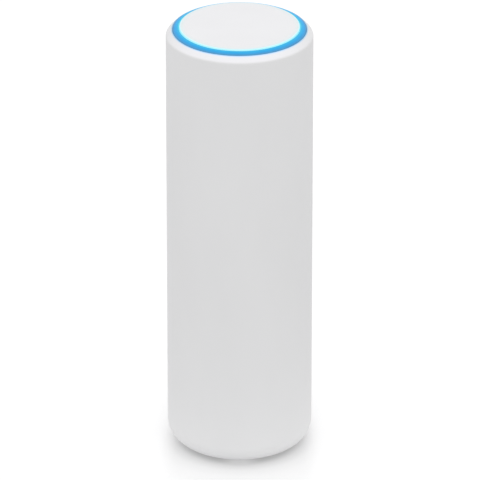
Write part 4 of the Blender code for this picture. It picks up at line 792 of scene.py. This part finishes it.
def inner_finishes():
    """Every solid that stays as it is gets the finish of its own material."""
    finish_nodes(moulded("well_white", WHITE, rough=0.5), ["port_well"])
    finish_nodes(moulded("frame_grey", (0.55, 0.56, 0.58), rough=0.52),
                 ["antenna_frame", "reset_button"])
    finish_nodes(moulded("moulding_black", (0.028, 0.028, 0.032), rough=0.46, shift=0.12),
                 ["switch_plunger", "jack_insert", "network_transformer"]
                 + numbered("antenna_cable", 4))
    finish_nodes(moulded("package_black", (0.022, 0.022, 0.024), rough=0.55, grain=0.012 * MM,
                         shift=0.15),
                 ["processor", "radio_chip_1", "radio_chip_2", "memory_chip", "flash_chip"])
    finish_nodes(moulded("ferrite_grey", (0.09, 0.09, 0.10), rough=0.62, grain=0.02 * MM,
                         scale=1400.0, shift=0.2), ["power_transformer", "power_inductor"])
    finish_nodes(moulded("pad_grey", (0.42, 0.50, 0.62), rough=0.85, grain=0.01 * MM, shift=0.08),
                 numbered("thermal_pad", 3))
    finish_nodes(moulded("film_amber", (0.60, 0.28, 0.05), rough=0.3, shift=0.1), ["light_flex"])
    finish_nodes(metal("tinned_steel", (0.62, 0.62, 0.63), 0.30),
                 ["jack_shell", "reset_switch"] + numbered("shield_can", 2)
                 + numbered("frame_screw", 4) + numbered("board_screw", 4)
                 + numbered("base_screw", 3))
    finish_nodes(metal("extruded_aluminium", (0.72, 0.73, 0.75), 0.36),
                 ["heat_sink"] + numbered("bulk_capacitor", 2))
    finish_nodes(metal("gilt_brass", (0.78, 0.60, 0.30), 0.26),
                 ["contact_comb"] + numbered("antenna", 4) + numbered("antenna_plug", 4))
    finish_nodes(solder_mask("mask_green", (0.02, 0.13, 0.065), (0.05, 0.24, 0.12)), ["main_board"])
    finish_nodes(solder_mask("mask_white", (0.78, 0.78, 0.79), (0.70, 0.72, 0.70)),
                 ["light_board"])


# ---- Stage, light and camera -------------------------------------------------------------------
FLOOR_SIZE = 8.0
FLOOR_COLOUR = (0.70, 0.70, 0.703)
FLOOR_ROUGHNESS = 0.9
FLOOR_GLOW = 0.37
# The painted shadow on the floor: radius in millimetres and the share of light that is left there.
SHADE_REACH = 60.0 * MM
SHADE_STOPS = ((19.5, 0.60), (22.4, 0.78), (26.0, 0.875), (30.0, 0.92), (38.0, 0.955), (60.0, 1.0))
# The painted shadow is paler straight in front: by how much, up to which |x| / radius, and out to
# which radius.
SHADE_FRONT_LIFT = 0.20
SHADE_FRONT_SPREAD = (0.05, 0.4)
SHADE_FRONT_NEAR = (18.5 * MM, 22.0 * MM)
# The painted shadow ends beside the body, between these two |x|.
SHADE_SIDE_SPAN = (20.5 * MM, 28.5 * MM)

PAD_SIZE = 0.11
PAD_HEIGHT = 0.1 * MM
PAD_RADIANCE = 0.27

# The surroundings' strength by the height, the depth and the side of a direction.
SKY_LEVEL_SPAN = (0.6, 0.95)
SKY_LOW = 1.04
SKY_HIGH = 0.95
SKY_FRONT = 1.06
SKY_BACK = 0.94
SKY_SIDE_START = 0.3
SKY_SIDE = 0.95

CAMERA_PLACE = (0.138 * MM, -1.823, 0.9356)
CAMERA_DOWN = 25.33
CAMERA_LENS = 456.8
CAMERA_SENSOR = 36.0
CAMERA_NEAR = 0.01
CAMERA_FAR = 50.0


def seen_directly(nodes):
    """1 for camera, mirror and glass rays, and 0 for the rays that light the object."""
    path = nodes.node("LightPath").outputs
    total = path["Is Camera Ray"]
    for name in ("Is Glossy Ray", "Is Transmission Ray"):
        total = nodes.math("MAXIMUM", total, path[name])
    return total


def floor():
    """Pale floor that reads white where it is open; round the base a painted shadow darkens it on
    top of the real shadow under the edge.
    """
    mesh = bpy.data.meshes.new("floor")
    half = FLOOR_SIZE / 2
    mesh.from_pydata([(-half, -half, 0.0), (half, -half, 0.0), (half, half, 0.0),
                      (-half, half, 0.0)], [], [(0, 1, 2, 3)])
    plane = new_object("floor", mesh)
    graph = Graph("floor_white")
    where = graph.place()
    aside = graph.math("ABSOLUTE", graph.axes(where)["X"])
    radius = graph.radius(where)
    # Painted shadow: a ramp by the radius, paler straight in front and fading out beside the body.
    stops = [(at * MM / SHADE_REACH, (level, level, level)) for at, level in SHADE_STOPS]
    painted_shadow_ramp = graph.ramp(graph.math("DIVIDE", radius, SHADE_REACH), stops)
    ahead = graph.remap(graph.math("DIVIDE", aside, radius), *SHADE_FRONT_SPREAD,
                        SHADE_FRONT_LIFT, 0.0, smooth=True)
    near = graph.remap(radius, *SHADE_FRONT_NEAR, 1.0, 0.0, smooth=True)
    lifted = graph.math("ADD", painted_shadow_ramp, graph.math("MULTIPLY", ahead, near))
    side = graph.remap(aside, *SHADE_SIDE_SPAN, smooth=True)
    contact = graph.mix(side, lifted, BRIGHT)
    # The painted shadow darkens the floor's colour and its glow alike.
    graph.set(Base_Color=graph.mix(contact, BLACK, FLOOR_COLOUR), Roughness=FLOOR_ROUGHNESS,
              Specular_IOR_Level=0.0)
    glow = graph.math("MULTIPLY", seen_directly(graph), FLOOR_GLOW)
    graph.set(Emission_Color=BRIGHT, Emission_Strength=graph.math("MULTIPLY", glow, contact))
    mesh.materials.append(graph.material)


def light_pad():
    """Soft light that the floor round the object sends up to its lower edge."""
    lamp = bpy.data.lights.new("light_pad", "AREA")
    lamp.shape = "DISK"
    lamp.size = PAD_SIZE
    lamp.energy = PAD_RADIANCE * math.pi * math.pi * (PAD_SIZE / 2) ** 2
    holder = new_object("light_pad", lamp)
    holder.location = (0.0, 0.0, PAD_HEIGHT)
    holder.rotation_euler = (math.pi, 0.0, 0.0)
    holder.visible_camera = False
    holder.visible_glossy = False


def world():
    """White surroundings that light a little more from low down and in front than elsewhere."""
    made = bpy.data.worlds.new("studio")
    bpy.context.scene.world = made
    made.use_nodes = True
    made.node_tree.nodes.clear()
    nodes = Nodes(made.node_tree)
    heading = nodes.axes(nodes.node("TexCoord").outputs["Generated"])
    level = nodes.remap(heading["Z"], *SKY_LEVEL_SPAN, SKY_LOW, SKY_HIGH, smooth=True)
    ahead = nodes.remap(heading["Y"], -1.0, 1.0, SKY_FRONT, SKY_BACK)
    aside = nodes.math("ABSOLUTE", heading["X"])
    flank = nodes.remap(aside, SKY_SIDE_START, 1.0, 1.0, SKY_SIDE)
    strength = nodes.math("MULTIPLY", nodes.math("MULTIPLY", level, ahead), flank)
    pick = nodes.node("MixShader")
    nodes.feed(pick.inputs["Fac"], seen_directly(nodes))
    for socket, value in ((pick.inputs[1], strength), (pick.inputs[2], 1.0)):
        light = nodes.node("Background")
        nodes.feed(light.inputs["Color"], BRIGHT)
        nodes.feed(light.inputs["Strength"], value)
        nodes.link(light.outputs[0], socket)
    output = nodes.node("OutputWorld")
    nodes.link(pick.outputs[0], output.inputs["Surface"])


def camera():
    """Long lens, looking down at the angle of the photograph."""
    lens = bpy.data.cameras.new("camera")
    lens.lens = CAMERA_LENS
    lens.sensor_width = CAMERA_SENSOR
    lens.clip_start = CAMERA_NEAR
    lens.clip_end = CAMERA_FAR
    holder = new_object("camera", lens)
    holder.location = CAMERA_PLACE
    holder.rotation_euler = (math.radians(90.0 - CAMERA_DOWN), 0.0, 0.0)
    bpy.context.scene.camera = holder


def main():
    sleeve()
    ring()
    cap()
    base_cover()
    rubber_foot()
    inner_finishes()
    floor()
    light_pad()
    world()
    camera()
    bpy.context.scene.view_settings.view_transform = "Standard"


main()
